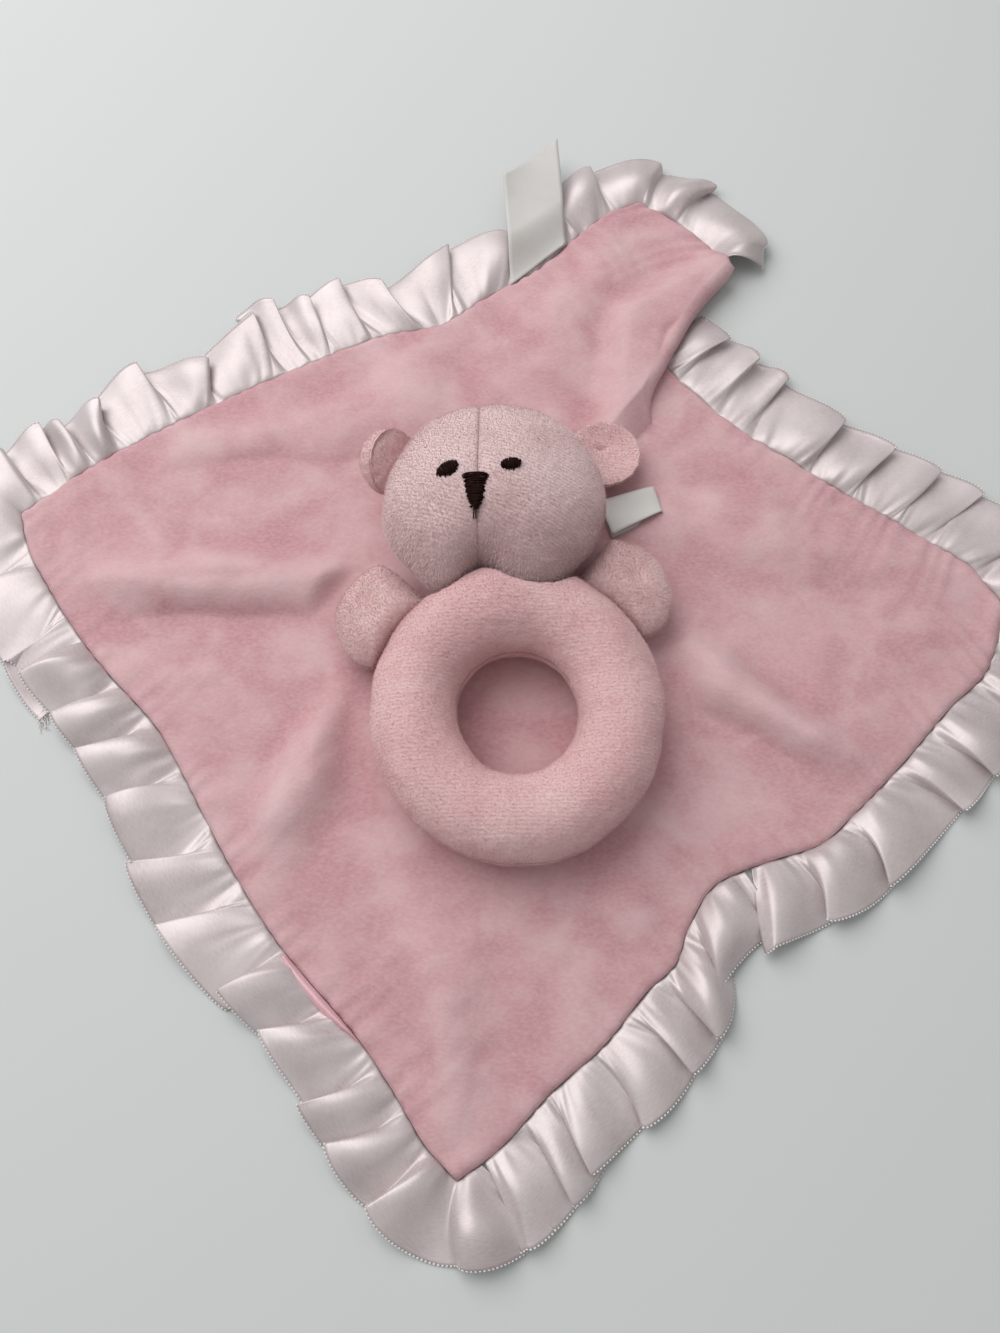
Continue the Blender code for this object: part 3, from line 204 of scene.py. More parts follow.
def plushMaterial(name, look):
    # cut-pile plush: dull, soft, with brushed patches that catch the light, and a pale rim where pile stands
    made, tree, shader = newMaterial(name, {
        "Roughness": 0.92, "Sheen Weight": look["sheen"], "Sheen Roughness": 0.45,
        "Sheen Tint": colour(look["sheenTint"]), "Specular IOR Level": 0.15})
    place = objectPlace(tree)
    turned = turnedPlace(tree, place, look["napTurn"], look["napStretch"])
    broad = noiseNode(tree, place, look["patchSize"], 2.0, 0.55, 0.6)
    streak = noiseNode(tree, turned, look["streakSize"], 3.0, 0.6, 0.3)
    fibre = noiseNode(tree, turned, look["fibreSize"], 2.0, 0.6)
    tuft = noiseNode(tree, place, look["fibreSize"] * 3.2, 2.0, 0.5)
    if look.get("rise"):
        # painted shade in the fold hollows, which get the deep colour, and a painted highlight on the ridges,
        # which get paler, set by the rise mark
        mark = addNode(tree, "ShaderNodeAttribute", {"attribute_name": "rise"}).outputs["Fac"]
        broad = mathNode(tree, "MULTIPLY_ADD", mark, look["rise"], broad)
        broad = mathNode(tree, "SUBTRACT", broad, look["rise"] / 2)
    tone = mixColour(tree, stretchShare(tree, broad, 0.18, 0.68), colour(look["deep"]), colour(look["mid"]))
    high = mathNode(tree, "MULTIPLY_ADD", streak, 0.7, broad)
    tone = mixColour(tree, stretchShare(tree, high, 0.72, 1.20), tone, colour(look["light"]))
    tone = mixColour(tree, stretchShare(tree, fibre, 0.35, 1.60), tone, colour(look["tip"]))
    height = mathNode(tree, "MULTIPLY_ADD", tuft, 1.4, fibre)
    if look.get("rows"):
        # knitted rows of the backing show through; drawn at 1.3 mm, a little coarser than real
        across = turnedPlace(tree, place, look["rowsTurn"])
        rows = waveNode(tree, across, "Y", look["rows"], 2.2, 2.0, 1.6)
        # on the steep ends, where flat bands would spread, they fade out
        steep = addNode(tree, "ShaderNodeSeparateXYZ", None, {
            "Vector": addNode(tree, "ShaderNodeTexCoord").outputs["Normal"]}).outputs["Y"]
        fade = stretchShare(tree, mathNode(tree, "ABSOLUTE", steep), 0.40, 0.80)
        rows = mathNode(tree, "MAXIMUM", rows, fade)
        tone = mixColour(tree, stretchShare(tree, rows, 1.0, -look["rowsFaint"]), tone, colour(look["seam"]))
        height = mathNode(tree, "MULTIPLY_ADD", rows, 0.22, height)
    if look.get("seam"):
        # painted shade: the skin is drawn darker down in its seam grooves and, on the head, under the chin
        near = addNode(tree, "ShaderNodeAttribute", {"attribute_name": "paintedShade"}).outputs["Fac"]
        tone = mixColour(tree, near, tone, colour(look["seam"]))
    return finishShader(made, tree, shader, tone, height, look["bump"], look["pileDepth"])


def satinMaterial(name, look):
    # woven satin: smooth long floats of thread, a broad soft gloss with a fine line along the weave
    made, tree, shader = newMaterial(name, {
        "Roughness": look["roughness"], "Sheen Weight": 0.10, "Sheen Roughness": 0.3,
        "Metallic": look["lustre"], "Specular IOR Level": look["gloss"]})
    place = addNode(tree, "ShaderNodeUVMap", {"uv_map": "cloth"}).outputs[0]
    # thread lines are drawn at 0.35 mm, a little coarser than real, so that they show
    thread = noiseNode(tree, turnedPlace(tree, place, 0, (0.12, 1.0, 1.0)), 0.00035, 1.0, 0.5)
    tone = twoTone(tree, noiseNode(tree, place, 0.018, 2.0, 0.5), 0.35, 0.65, look)
    tone = mixColour(tree, stretchShare(tree, thread, 0.2, 1.2), tone, colour(look["thread"]))
    return finishShader(made, tree, shader, tone, thread, 0.25, 0.00006)


def weaveMaterial(name, look):
    # plain-woven tape: crossed threads, dull
    made, tree, shader = newMaterial(name, {"Roughness": look["roughness"], "Specular IOR Level": 0.3})
    place = objectPlace(tree)
    turned = turnedPlace(tree, place, look["turn"])
    both = mathNode(tree, "MULTIPLY", *[waveNode(tree, turned, way, look["threadSize"], 0.6) for way in "XY"])
    tone = twoTone(tree, noiseNode(tree, place, 0.009, 2.0, 0.6), 0.3, 0.7, look)
    tone = mixColour(tree, stretchShare(tree, both, 0.9, 0.0), tone, colour(look["gap"]))
    return finishShader(made, tree, shader, tone, both, 0.5, 0.00012)


def threadMaterial(name, look):
    # twisted sewing thread: a slight gloss, with the twist as fine slanted lines
    made, tree, shader = newMaterial(name, {"Roughness": look["roughness"], "Specular IOR Level": look["gloss"]})
    place = objectPlace(tree)
    slanted = addNode(tree, "ShaderNodeMapping", None, {"Vector": place, "Rotation": (0.4, 0.3, 0.8)}).outputs[0]
    twist = waveNode(tree, slanted, "X", 0.0003, 1.5)
    tone = twoTone(tree, noiseNode(tree, place, 0.0012, 2.0, 0.6), 0.3, 0.7, look)
    return finishShader(made, tree, shader, tone, twist, 0.5, 0.00010)


def fibreMaterial(name, look):
    # loose polyester fibre: white, dull, tangled
    made, tree, shader = newMaterial(name, {"Roughness": 1.0, "Sheen Weight": 0.4, "Specular IOR Level": 0.1})
    tangle = noiseNode(tree, objectPlace(tree), 0.0025, 6.0, 0.7, 2.5)
    return finishShader(made, tree, shader, twoTone(tree, tangle, 0.3, 0.7, look), tangle, 0.8, 0.0010)


def mouldedMaterial(name, look):
    # moulded polypropylene: an even matt skin with a faint orange peel
    made, tree, shader = newMaterial(name, {"Roughness": look["roughness"], "IOR": 1.49})
    place = objectPlace(tree)
    peel = noiseNode(tree, place, 0.0008, 2.0, 0.5)
    tone = twoTone(tree, noiseNode(tree, place, 0.006, 2.0, 0.5), 0.3, 0.7, look)
    return finishShader(made, tree, shader, tone, peel, 0.15, 0.00005)


# what the cut-pile cloths have in common
velour = {
    "sheen": 0.35, "sheenTint": "#F8E8E6", "tip": "#F0DAD8", "napStretch": (0.6, 1.0, 1.0), "patchSize": 0.030,
    "streakSize": 0.006, "fibreSize": 0.0008, "bump": 0.5, "pileDepth": 0.0005,
}
# rise: how strongly the fold heights paint shade into the blanket's hollows and a highlight onto its ridges
plush = plushMaterial("velourPlushPink", {
    **velour, "deep": "#BC8B91", "mid": "#CB9DA1", "light": "#D4B2B4", "tip": "#E1C5C7", "sheen": 0.30,
    "sheenTint": "#F7E3E4", "napTurn": 24, "streakSize": 0.012, "fibreSize": 0.0010, "bump": 0.22, "rise": 0.30})
# seam: the colour of painted shade down the seams (and under the head's chin); the knitted rows are drawn in it
# too
headVelour = plushMaterial("shortPileVelourPale", {
    **velour, "deep": "#D6B8B8", "mid": "#E1C6C6", "light": "#E9D3D2", "tip": "#F6E8E6", "sheen": 0.40,
    "sheenTint": "#F7ECEA", "napTurn": 80, "patchSize": 0.028, "seam": "#A98889", "rows": 0.0013,
    "rowsTurn": 20, "rowsFaint": 2.6})
ringVelour = plushMaterial("shortPileVelourRose", {
    **velour, "deep": "#D2A4A7", "mid": "#DBB1B3", "light": "#E3C1C1", "tip": "#F0D8D6", "napTurn": 10,
    "seam": "#BE9295", "rows": 0.0013, "rowsTurn": 0, "rowsFaint": 4.0})
armVelour = plushMaterial("shortPileVelourRoseDull", {
    **velour, "deep": "#CFA9AA", "mid": "#D9B6B6", "light": "#E2C6C5", "sheen": 0.38, "napTurn": 60,
    "patchSize": 0.016, "streakSize": 0.005, "seam": "#BE9898"})
earVelour = plushMaterial("shortPileVelourRosePale", {
    **velour, "deep": "#CFA4A6", "mid": "#DAB2B4", "light": "#E3C3C3", "napTurn": 50, "patchSize": 0.016,
    "streakSize": 0.005, "seam": "#BE9598", "rows": 0.0013, "rowsTurn": 10, "rowsFaint": 4.5})
pinkSatin = satinMaterial("polyesterSatinPink", {
    "deep": "#DDA4AE", "light": "#E8B9C1", "thread": "#F2CFD3", "roughness": 0.36, "gloss": 0.5, "lustre": 0.15})
ribbonSatin = satinMaterial("polyesterSatinRibbonPale", {
    "deep": "#BDAFAF", "light": "#CEC2C2", "thread": "#E0D7D6", "roughness": 0.46, "gloss": 0.6, "lustre": 0.34})
edgeThread = threadMaterial("polyesterEdgeThreadPale", {
    "deep": "#E2DCDB", "light": "#F4F1EF", "roughness": 0.5, "gloss": 0.4})
labelTape = weaveMaterial("wovenPolyesterTapeWhite", {
    "deep": "#DAD8D4", "light": "#EAE8E4", "gap": "#C9C6C2", "threadSize": 0.0005, "turn": 28, "roughness": 0.6})
darkThread = threadMaterial("embroideryThreadBrown", {
    "deep": "#180805", "light": "#2B130E", "roughness": 0.8, "gloss": 0.12})
pinkThread = threadMaterial("sewingThreadPink", {
    "deep": "#C98F98", "light": "#DDB0B6", "roughness": 0.6, "gloss": 0.3})
fibreFill = fibreMaterial("polyesterFibreFill", {"deep": "#DADAD8", "light": "#F2F2F0"})
capsulePlastic = mouldedMaterial("polypropyleneMouldedPale", {
    "deep": "#E2E5E7", "light": "#EEF0F1", "roughness": 0.35})
beadPlastic = mouldedMaterial("polypropyleneMouldedBlue", {
    "deep": "#7FA6CC", "light": "#95B8DA", "roughness": 0.4})
print("materials made")

# sizes in metres; places and shapes of the bear's pieces in shares of their half sizes; turns in degrees,
# but for the neck's place round the ring, in radians

layout = {
    "halfDiagonal": 0.200, "plushThickness": 0.0016, "satinThickness": 0.0008, "panelGap": 0.0003,
    "foldHeight": 0.0065, "foldWidth": 0.0130, "swellHeight": 0.0012, "restCut": 0.0004,
    "ribbonWidth": 0.0270, "ribbonClearance": 0.0010, "seatClearance": 0.0003,
    "neck": (0.0040, 0.0170), "skin": 0.0012,
}
head = {
    "half": (0.0379, 0.0360, 0.0245), "shiftX": -0.0058, "chinOverlap": 0.0005, "seamGap": 0.0001,
    "faceSeam": -0.149, "backSeam": -0.30, "backFlat": 0.93, "cheek": 0.12, "chinPinch": 0.28,
    "pinchWidth": 0.24, "jowl": 0.07, "capsuleRadius": 0.0130,
}
ring = {
    "mid": (0.0348, 0.0367), "tube": 0.0150, "shiftX": 0.0017, "overlap": 0.0120, "clearance": 0.0019,
    "neckSwell": 0.07, "neckRise": 0.22, "neckTurn": 1.80,
}
arm = {
    "half": (0.0165, 0.0205, 0.0095), "clearance": 0.0005, "root": 0.45, "neck": 0.35, "full": 0.45,
    "place": {"left": (-0.94, 1.01), "right": (0.76, 1.29)}, "turn": {"left": -18.0, "right": 28.0},
    "dimple": {"left": (-0.35, 0.15), "right": (0.30, 0.05)}, "dimpleDepth": 0.0016, "dimpleWidth": 0.22,
}
ear = {
    "half": (0.0140, 0.0032), "skin": 0.0009, "cup": 0.0050, "bend": 1.7, "backPuff": 1.2,
    "hollow": {"left": 0.25, "right": 1.0}, "puff": {"left": 2.3, "right": 1.2},
    "curl": {"left": 0.0048, "right": 0.0006}, "draw": {"left": 0.24, "right": 0.02},
    "lift": {"left": 0.0110, "right": 0.0}, "tilt": {"left": 49.0, "right": 1.5},
    "place": {"left": (-1.07, 0.43), "right": (1.07, 0.74)},
}
midHeight = layout["satinThickness"] + layout["panelGap"] / 2 - layout["restCut"] / 2
blanketTop = midHeight + layout["panelGap"] / 2 + layout["plushThickness"]
bearFloor = blanketTop + layout["seatClearance"]
headCentre = Vector((
    layout["neck"][0] + head["shiftX"],
    layout["neck"][1] + head["half"][1] + head["chinOverlap"],
    bearFloor + head["half"][2] * head["backFlat"],
))
ringCentre = Vector((
    layout["neck"][0] + ring["shiftX"],
    layout["neck"][1] + ring["overlap"] - ring["tube"] - ring["mid"][1],
    bearFloor + ring["tube"],
))
# the shapes are laid out round the middle of the view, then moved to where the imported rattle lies
low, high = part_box("rattle_capsule_front")
shiftRow = np.array(Vector(((low.x + high.x) / 2 - headCentre.x, (low.y + high.y) / 2 - headCentre.y, 0.0)))

# blanket cloth: seam outlines as shares of the half diagonal, from the middle of the view

topLeftShares = [
    (-0.895, 0.30), (-0.785, 0.395), (-0.665, 0.475), (-0.51, 0.565), (-0.355, 0.645), (-0.23, 0.70),
    (-0.12, 0.725), (-0.03, 0.79), (0.075, 0.86), (0.16, 0.945), (0.235, 1.010), (0.298, 1.030),
]
bottomRightShares = [
    (-0.065, -0.835), (0.0, -0.79), (0.08, -0.71), (0.165, -0.64), (0.235, -0.56), (0.285, -0.515),
    (0.305, -0.465), (0.35, -0.395), (0.405, -0.365), (0.465, -0.345), (0.54, -0.32), (0.60, -0.27),
    (0.69, -0.185), (0.79, -0.08), (0.865, -0.01), (0.915, 0.11),
]
bottomLeftShares = [
    (-0.895, 0.30), (-0.87, 0.225), (-0.83, 0.16), (-0.775, 0.08), (-0.705, -0.005), (-0.595, -0.12),
    (-0.535, -0.215), (-0.485, -0.30), (-0.435, -0.38), (-0.355, -0.49), (-0.225, -0.63), (-0.165, -0.71),
    (-0.115, -0.785), (-0.065, -0.835),
]
# place along the cut edge first, because the pleat takes up a part of this side
topRightShares = [
    (0.0, 0.298, 1.030), (0.05, 0.342, 0.990), (0.11, 0.365, 0.925), (0.18, 0.365, 0.85), (0.265, 0.37, 0.765),
    (0.35, 0.385, 0.70), (0.45, 0.415, 0.60), (0.55, 0.495, 0.475), (0.66, 0.60, 0.38), (0.77, 0.70, 0.31),
    (0.88, 0.80, 0.24), (0.95, 0.87, 0.185), (1.0, 0.915, 0.11),
]
# ridges and hollows: two ends as shares of the half diagonal, height, width
clothFolds = [
    (-0.77, 0.155, -0.30, 0.160, 0.95, 0.90), (-0.80, 0.05, -0.34, 0.060, -0.50, 0.80),
    (-0.60, 0.37, -0.26, 0.36, -0.45, 1.00), (-0.62, 0.45, -0.20, 0.50, 0.55, 1.30),
    (-0.24, -0.08, -0.43, -0.36, 1.00, 0.95), (-0.36, -0.06, -0.60, -0.20, -0.50, 1.20),
    (0.33, 0.00, 0.62, -0.20, 1.00, 0.85), (0.33, -0.11, 0.60, -0.27, -0.60, 0.80),
    (0.20, -0.40, 0.30, -0.52, 0.45, 0.80), (-0.10, -0.50, -0.08, -0.72, 0.60, 1.10),
    (0.34, 0.28, 0.74, 0.20, 0.60, 1.50), (0.10, 0.62, 0.16, 0.86, 0.55, 1.20),
    (-0.10, 0.52, -0.25, 0.64, 0.40, 1.10),
]
pleat = {
    "height": 0.0084, "reach": 0.0195, "feather": 0.0150, "over": 0.18, "under": 0.35, "apex": 0.42, "end": 0.86,
    "fade": 0.66, "least": 0.035, "roll": 0.018, "upper": 0.38, "spread": 0.30, "way": (0.99, -0.14),
    "triangle": [(0.455, 0.82), (0.285, 0.71), (0.255, 0.46)],
}
blanket = {
    "rows": 196, "columnsBefore": 66, "columnsRoll": 20, "columnsAfter": 108, "backRows": 96, "side": 0.28,
    "puckerStep": 0.0085, "puckerHeight": 0.0009, "puckerReach": 0.016, "lumpHeight": 0.0012, "lumpSize": 0.026,
    "creaseHeight": 0.0004, "creaseSize": 0.010, "edgeRound": 0.0030, "edgeThin": 0.0005, "foldGain": 1.35,
    "foldSlim": 0.85, "wanderHeight": 0.0025, "wanderSize": 0.05, "paintedShadeReach": 5, "paintedShadeHeight": 0.0016,
    "backColumns": (34, 16, 56),
}
half = layout["halfDiagonal"]


def seamCurve(shares):
    points = np.array(shares) * half
    steps = np.concatenate([[0], np.cumsum(np.linalg.norm(np.diff(points, axis=0), axis=1))])
    return points, steps / steps[-1]


topLeft, bottomRight, bottomLeft = (seamCurve(s) for s in (topLeftShares, bottomRightShares, bottomLeftShares))
topRight = (np.array([s[1:] for s in topRightShares]) * half, np.array([s[0] for s in topRightShares]))


def flatPoint(up, right):
    # point of the square between its four sides
    left, top = topLeft[0][0], topLeft[0][-1]
    bottom, far = bottomRight[0][0], bottomRight[0][-1]
    u, r = up[:, None], right[:, None]
    along = curveThrough(*topLeft, up) * (1 - r) + curveThrough(*bottomRight, up) * r
    across = curveThrough(*bottomLeft, right) * (1 - u) + curveThrough(*topRight, right) * u
    corners = left * (1 - u) * (1 - r) + bottom * (1 - u) * r + top * u * (1 - r) + far * u * r
    return along + across - corners


def segmentDistance(points, start, end):
    line = end - start
    share = np.clip(((points - start) @ line) / (line @ line), 0, 1)
    return np.linalg.norm(points - start - share[:, None] * line, axis=1), share


def armCentre(name):
    x, y = arm["place"][name]
    return Vector((
        ringCentre.x + x * (ring["mid"][0] + ring["tube"]), ringCentre.y + y * ring["mid"][1],
        bearFloor + arm["half"][2],
    ))


def earCentre(name):
    x, y = ear["place"][name]
    return Vector((
        headCentre.x + x * head["half"][0], headCentre.y + y * head["half"][1],
        bearFloor + ear["half"][1] + ear["cup"] + ear["lift"][name],
    ))


def bearCover(points):
    # 1 under the bear, where the cloth lies flat, 0 just outside it
    tube = ring["tube"]
    covers = [
        (headCentre, head["half"][0], head["half"][1]),
        (ringCentre, ring["mid"][0] + tube, ring["mid"][1] + tube),
    ]
    covers += [(armCentre(name), arm["half"][1], arm["half"][1]) for name in ("left", "right")]
    covers += [(earCentre(name), ear["half"][0], ear["half"][0]) for name in ("left", "right")]
    nearest = np.full(len(points), 9.0)
    for centre, wide, tall in covers:
        offset = (points - np.array(centre)[:2]) / (wide, tall)
        nearest = np.minimum(nearest, np.linalg.norm(offset, axis=1))
    return 1 - smoothStep(1.12, 1.45, nearest)


def triangleCover(points):
    corners = np.array(pleat["triangle"]) * half
    inside = np.ones(len(points), bool)
    nearest = np.full(len(points), 9.0)
    for index in range(3):
        start, end = corners[index], corners[(index + 1) % 3]
        edge = end - start
        inside &= edge[0] * (points[:, 1] - start[1]) - edge[1] * (points[:, 0] - start[0]) < 0
        nearest = np.minimum(nearest, segmentDistance(points, start, end)[0])
    feathered = 1 - smoothStep(0.0, pleat["feather"], nearest - pleat["feather"] / 3)
    return np.where(inside, 1.0, feathered)


def flatNoise(points, size, seed):
    return noiseAt(np.c_[points, np.zeros(len(points))], size, seed)


def clothHeight(points, up, right, fine):
    height = np.zeros(len(points))
    for x0, y0, x1, y1, rise, width in clothFolds:
        start, end = np.array((x0, y0)) * half, np.array((x1, y1)) * half
        distance, share = segmentDistance(points, start, end)
        gain, wide = layout["foldHeight"], width * layout["foldWidth"]
        if fine:
            # a real fold wanders, and stands higher and slimmer than in the solid
            own = np.c_[points, np.full(len(points), x0)]
            distance = distance + noiseAt(own, blanket["wanderSize"], 3) * blanket["wanderHeight"]
            gain, wide = gain * blanket["foldGain"], wide * blanket["foldSlim"]
        height += rise * gain * (0.6 + 0.4 * np.sin(np.pi * share)) * bell(distance, wide)
    height += layout["swellHeight"] * np.sin(7.0 * up + 2.0) * np.sin(6.0 * right + 1.0)
    edge = np.minimum.reduce([up, right, 1 - up, 1 - right])
    height *= smoothStep(0.0, 0.10, edge)
    if fine:
        lumps = flatNoise(points, blanket["lumpSize"], 1) * blanket["lumpHeight"]
        creases = flatNoise(points, blanket["creaseSize"], 2) * blanket["creaseHeight"]
        height += (lumps + creases) * smoothStep(0.0, 0.05, edge)
        # the gathered ribbon puckers the cloth beside the seam
        for near, along in ((up, right), (1 - up, right), (right, up), (1 - right, up)):
            fade = np.exp(-near * blanket["side"] / blanket["puckerReach"])
            phase = along * blanket["side"] / blanket["puckerStep"] * 2 * np.pi
            phase = phase + 2.2 * np.sin(phase / 3.7) + near * 9
            height += blanket["puckerHeight"] * fade * (1 + np.sin(phase)) * 0.5
    height *= 1 - bearCover(points)
    return np.maximum(height, -layout["restCut"] / 2)


def pleatLines(up):
    lap = np.clip((up - pleat["end"]) / (1 - pleat["end"]), 0, 1)
    over = pleat["over"] * lap + (pleat["apex"] - pleat["least"]) * (1 - lap)
    under = pleat["under"] * lap + pleat["apex"] * (1 - lap)
    return over, under, lap


def clothPoint(up, right, overPleat, fine):
    up, right = np.broadcast_arrays(np.asarray(up, float), np.asarray(right, float))
    up, right = up.ravel(), right.ravel()
    over, under, lap = pleatLines(up)
    flat = flatPoint(up, right)
    roll = pleat["roll"] / 2
    if overPleat:
        shift = smoothStep(0.0, over - roll, right)
    else:
        shift = -(1 - smoothStep(under + roll, under + pleat["spread"], right))
    place = flat + np.array(pleat["way"]) * (shift * lap * pleat["reach"])[:, None]
    cover = triangleCover(place) * smoothStep(pleat["fade"], pleat["end"], up)
    height = clothHeight(place, up, right, fine) * (1 - cover)
    if overPleat:
        height = height + pleat["height"] * cover
        if fine:
            height = height + cover * flatNoise(place, 0.016, 5) * 0.0005
    return np.c_[place, midHeight + height]


def pleatSection(start, end, shares):
    # the S of the cloth between the pleat's fold lines: an arc, a straight stretch and an arc back
    way = np.array(pleat["way"]) / np.linalg.norm(pleat["way"])
    step = end - start
    level = step[:2] @ way
    sideways = step[:2] - way * level
    drop = max(start[2] - end[2], layout["panelGap"])
    if level > 0:
        radius = min(pleat["height"] / 2, 0.98 * (drop ** 2 + level ** 2) / (2 * drop))
        reach = math.hypot(radius - drop, level)
        lean = math.atan2(level, radius - drop) - math.acos(min(radius / reach, 1.0))
        straight = math.sqrt(max(reach ** 2 - radius ** 2, 0.0))
    else:
        radius, lean, straight = drop / 2, math.pi, -level
    upper = radius * pleat["upper"]
    lower = radius - upper
    total = radius * lean + straight
    found = []
    for length in np.asarray(shares) * total:
        if length < upper * lean:
            angle = length / upper
            along, fall = upper * math.sin(angle), upper * (1 - math.cos(angle))
        elif length < upper * lean + straight:
            angle, rest = lean, length - upper * lean
            along = upper * math.sin(lean) + rest * math.cos(lean)
            fall = upper * (1 - math.cos(lean)) + rest * math.sin(lean)
        else:
            angle = max((total - length) / lower, 0.0)
            along = level - lower * math.sin(angle)
            fall = drop - lower * (1 - math.cos(angle))
        place = start[:2] + way * along + sideways * length / total
        found.append((place[0], place[1], start[2] - fall, angle))
    return np.array(found)


def clothGrid(rows, before, rolled, after, fine):
    # middle of the cloth as a grid of (x, y, z, lean) with its places up and right
    roll = pleat["roll"] / 2
    # closer rows over the upper fifth, where the pleat is
    plain = int(rows * 0.66)
    ups = np.unique(np.concatenate([np.linspace(0, 0.80, plain), np.linspace(0.80, 1.0, rows - plain + 1)]))
    grid, places = [], []
    for up in ups:
        over, under, lap = pleatLines(np.array([up]))
        over, under = over[0], under[0]
        first = np.linspace(0, over - roll, before)
        last = np.linspace(under + roll, 1, after)
        a = clothPoint(up, first, True, fine)
        b = clothPoint(up, last, False, fine)
        middle = np.linspace(0, 1, rolled + 2)[1:-1]
        section = pleatSection(a[-1], b[0], middle)
        # below the pleat the cloth runs straight on
        level = np.c_[a[-1] + (b[0] - a[-1]) * middle[:, None], np.zeros(rolled)]
        section = level + (section - level) * smoothStep(0.0, 0.25, lap[0])
        grid.append(np.concatenate([np.c_[a, np.zeros(len(a))], section, np.c_[b, np.zeros(len(b))]]))
        rights = np.concatenate([first, over - roll + (under - over + 2 * roll) * middle, last])
        places.append(np.c_[np.full(len(rights), up), rights])
    return np.array(grid), np.array(places)


def layerOf(grid, offset):
    # the grid moved towards its front, and no lower than the table
    lean = grid[..., 3]
    level = np.sin(lean) * offset
    moved = grid[..., :3].copy()
    moved[..., 0] += pleat["way"][0] * level
    moved[..., 1] += pleat["way"][1] * level
    moved[..., 2] = np.maximum(moved[..., 2] + np.cos(lean) * offset, 0.0)
    return moved


def gridQuads(rows, columns):
    index = np.arange(rows * columns).reshape(rows, columns)
    return index, np.stack([index[:-1, :-1], index[:-1, 1:], index[1:, 1:], index[1:, :-1]], -1).reshape(-1, 4)


def sheetObject(name, top, bottom, uv):
    # closed sheet between two grids of the same size
    index, quads = gridQuads(*top.shape[:2])
    count = index.size
    faces = [tuple(f) for f in quads.tolist()] + [tuple(f[::-1]) for f in (quads + count).tolist()]
    rim = np.concatenate([index[0, :-1], index[:-1, -1], index[-1, :0:-1], index[:0:-1, 0]])
    faces += [(int(a), int(a) + count, int(b) + count, int(b)) for a, b in zip(rim, np.roll(rim, -1))]
    made = meshFrom(name, np.concatenate([top.reshape(-1, 3), bottom.reshape(-1, 3)]) + shiftRow, faces)
    setUv(made, np.concatenate([uv.reshape(-1, 2)] * 2))
    return made


def blurred(values, reach):
    # mean over a square of cells round each cell, run three times
    for _ in range(3):
        for axis in (0, 1):
            wide = [(0, 0), (0, 0)]
            wide[axis] = (reach + 1, reach)
            total = np.cumsum(np.pad(values, wide, mode="edge"), axis=axis)
            size = values.shape[axis]
            upper = np.take(total, np.arange(2 * reach + 1, 2 * reach + 1 + size), axis=axis)
            values = (upper - np.take(total, np.arange(size), axis=axis)) / (2 * reach + 1)
    return values


def makeBlanket():
    gap = layout["panelGap"] / 2
    grid, places = clothGrid(
        blanket["rows"], blanket["columnsBefore"], blanket["columnsRoll"], blanket["columnsAfter"], True)
    edge = np.minimum.reduce([places[..., 0], places[..., 1], 1 - places[..., 0], 1 - places[..., 1]])
    near = np.clip(1 - edge * blanket["side"] / blanket["edgeRound"], 0, 1)
    pile = layout["plushThickness"] - blanket["edgeThin"]
    thickness = blanket["edgeThin"] + pile * np.sqrt(1 - near ** 2)
    front = sheetObject(
        "blanketPlush", layerOf(grid, gap + thickness), layerOf(grid, gap), places * blanket["side"])
    # the rise mark: how far each place stands above its surroundings, from which the plush paints shade into the
    # hollows and a highlight onto the ridges
    rise = (grid[..., 2] - blurred(grid[..., 2], blanket["paintedShadeReach"])) / blanket["paintedShadeHeight"]
    setMark(front, "rise", np.tile(np.clip(0.5 + 0.5 * rise, 0, 1).ravel(), 2))
    finishPiece(front, "blanket", ["blanket_front_panel"], plush)
    grid, places = clothGrid(blanket["backRows"], *blanket["backColumns"], False)
    back = sheetObject(
        "blanketSatin", layerOf(grid, -gap), layerOf(grid, -gap - layout["satinThickness"]),
        places * blanket["side"])
    finishPiece(back, "blanket", ["blanket_back_panel"], pinkSatin)
    return back


blanketSatin = makeBlanket()
print("blanket made")

# ruffle: gathered satin ribbon; each fold has its place round the seam (0 left corner, 1 top, 2 right,
# 3 bottom), and its slip along the seam and its reach in ribbon widths

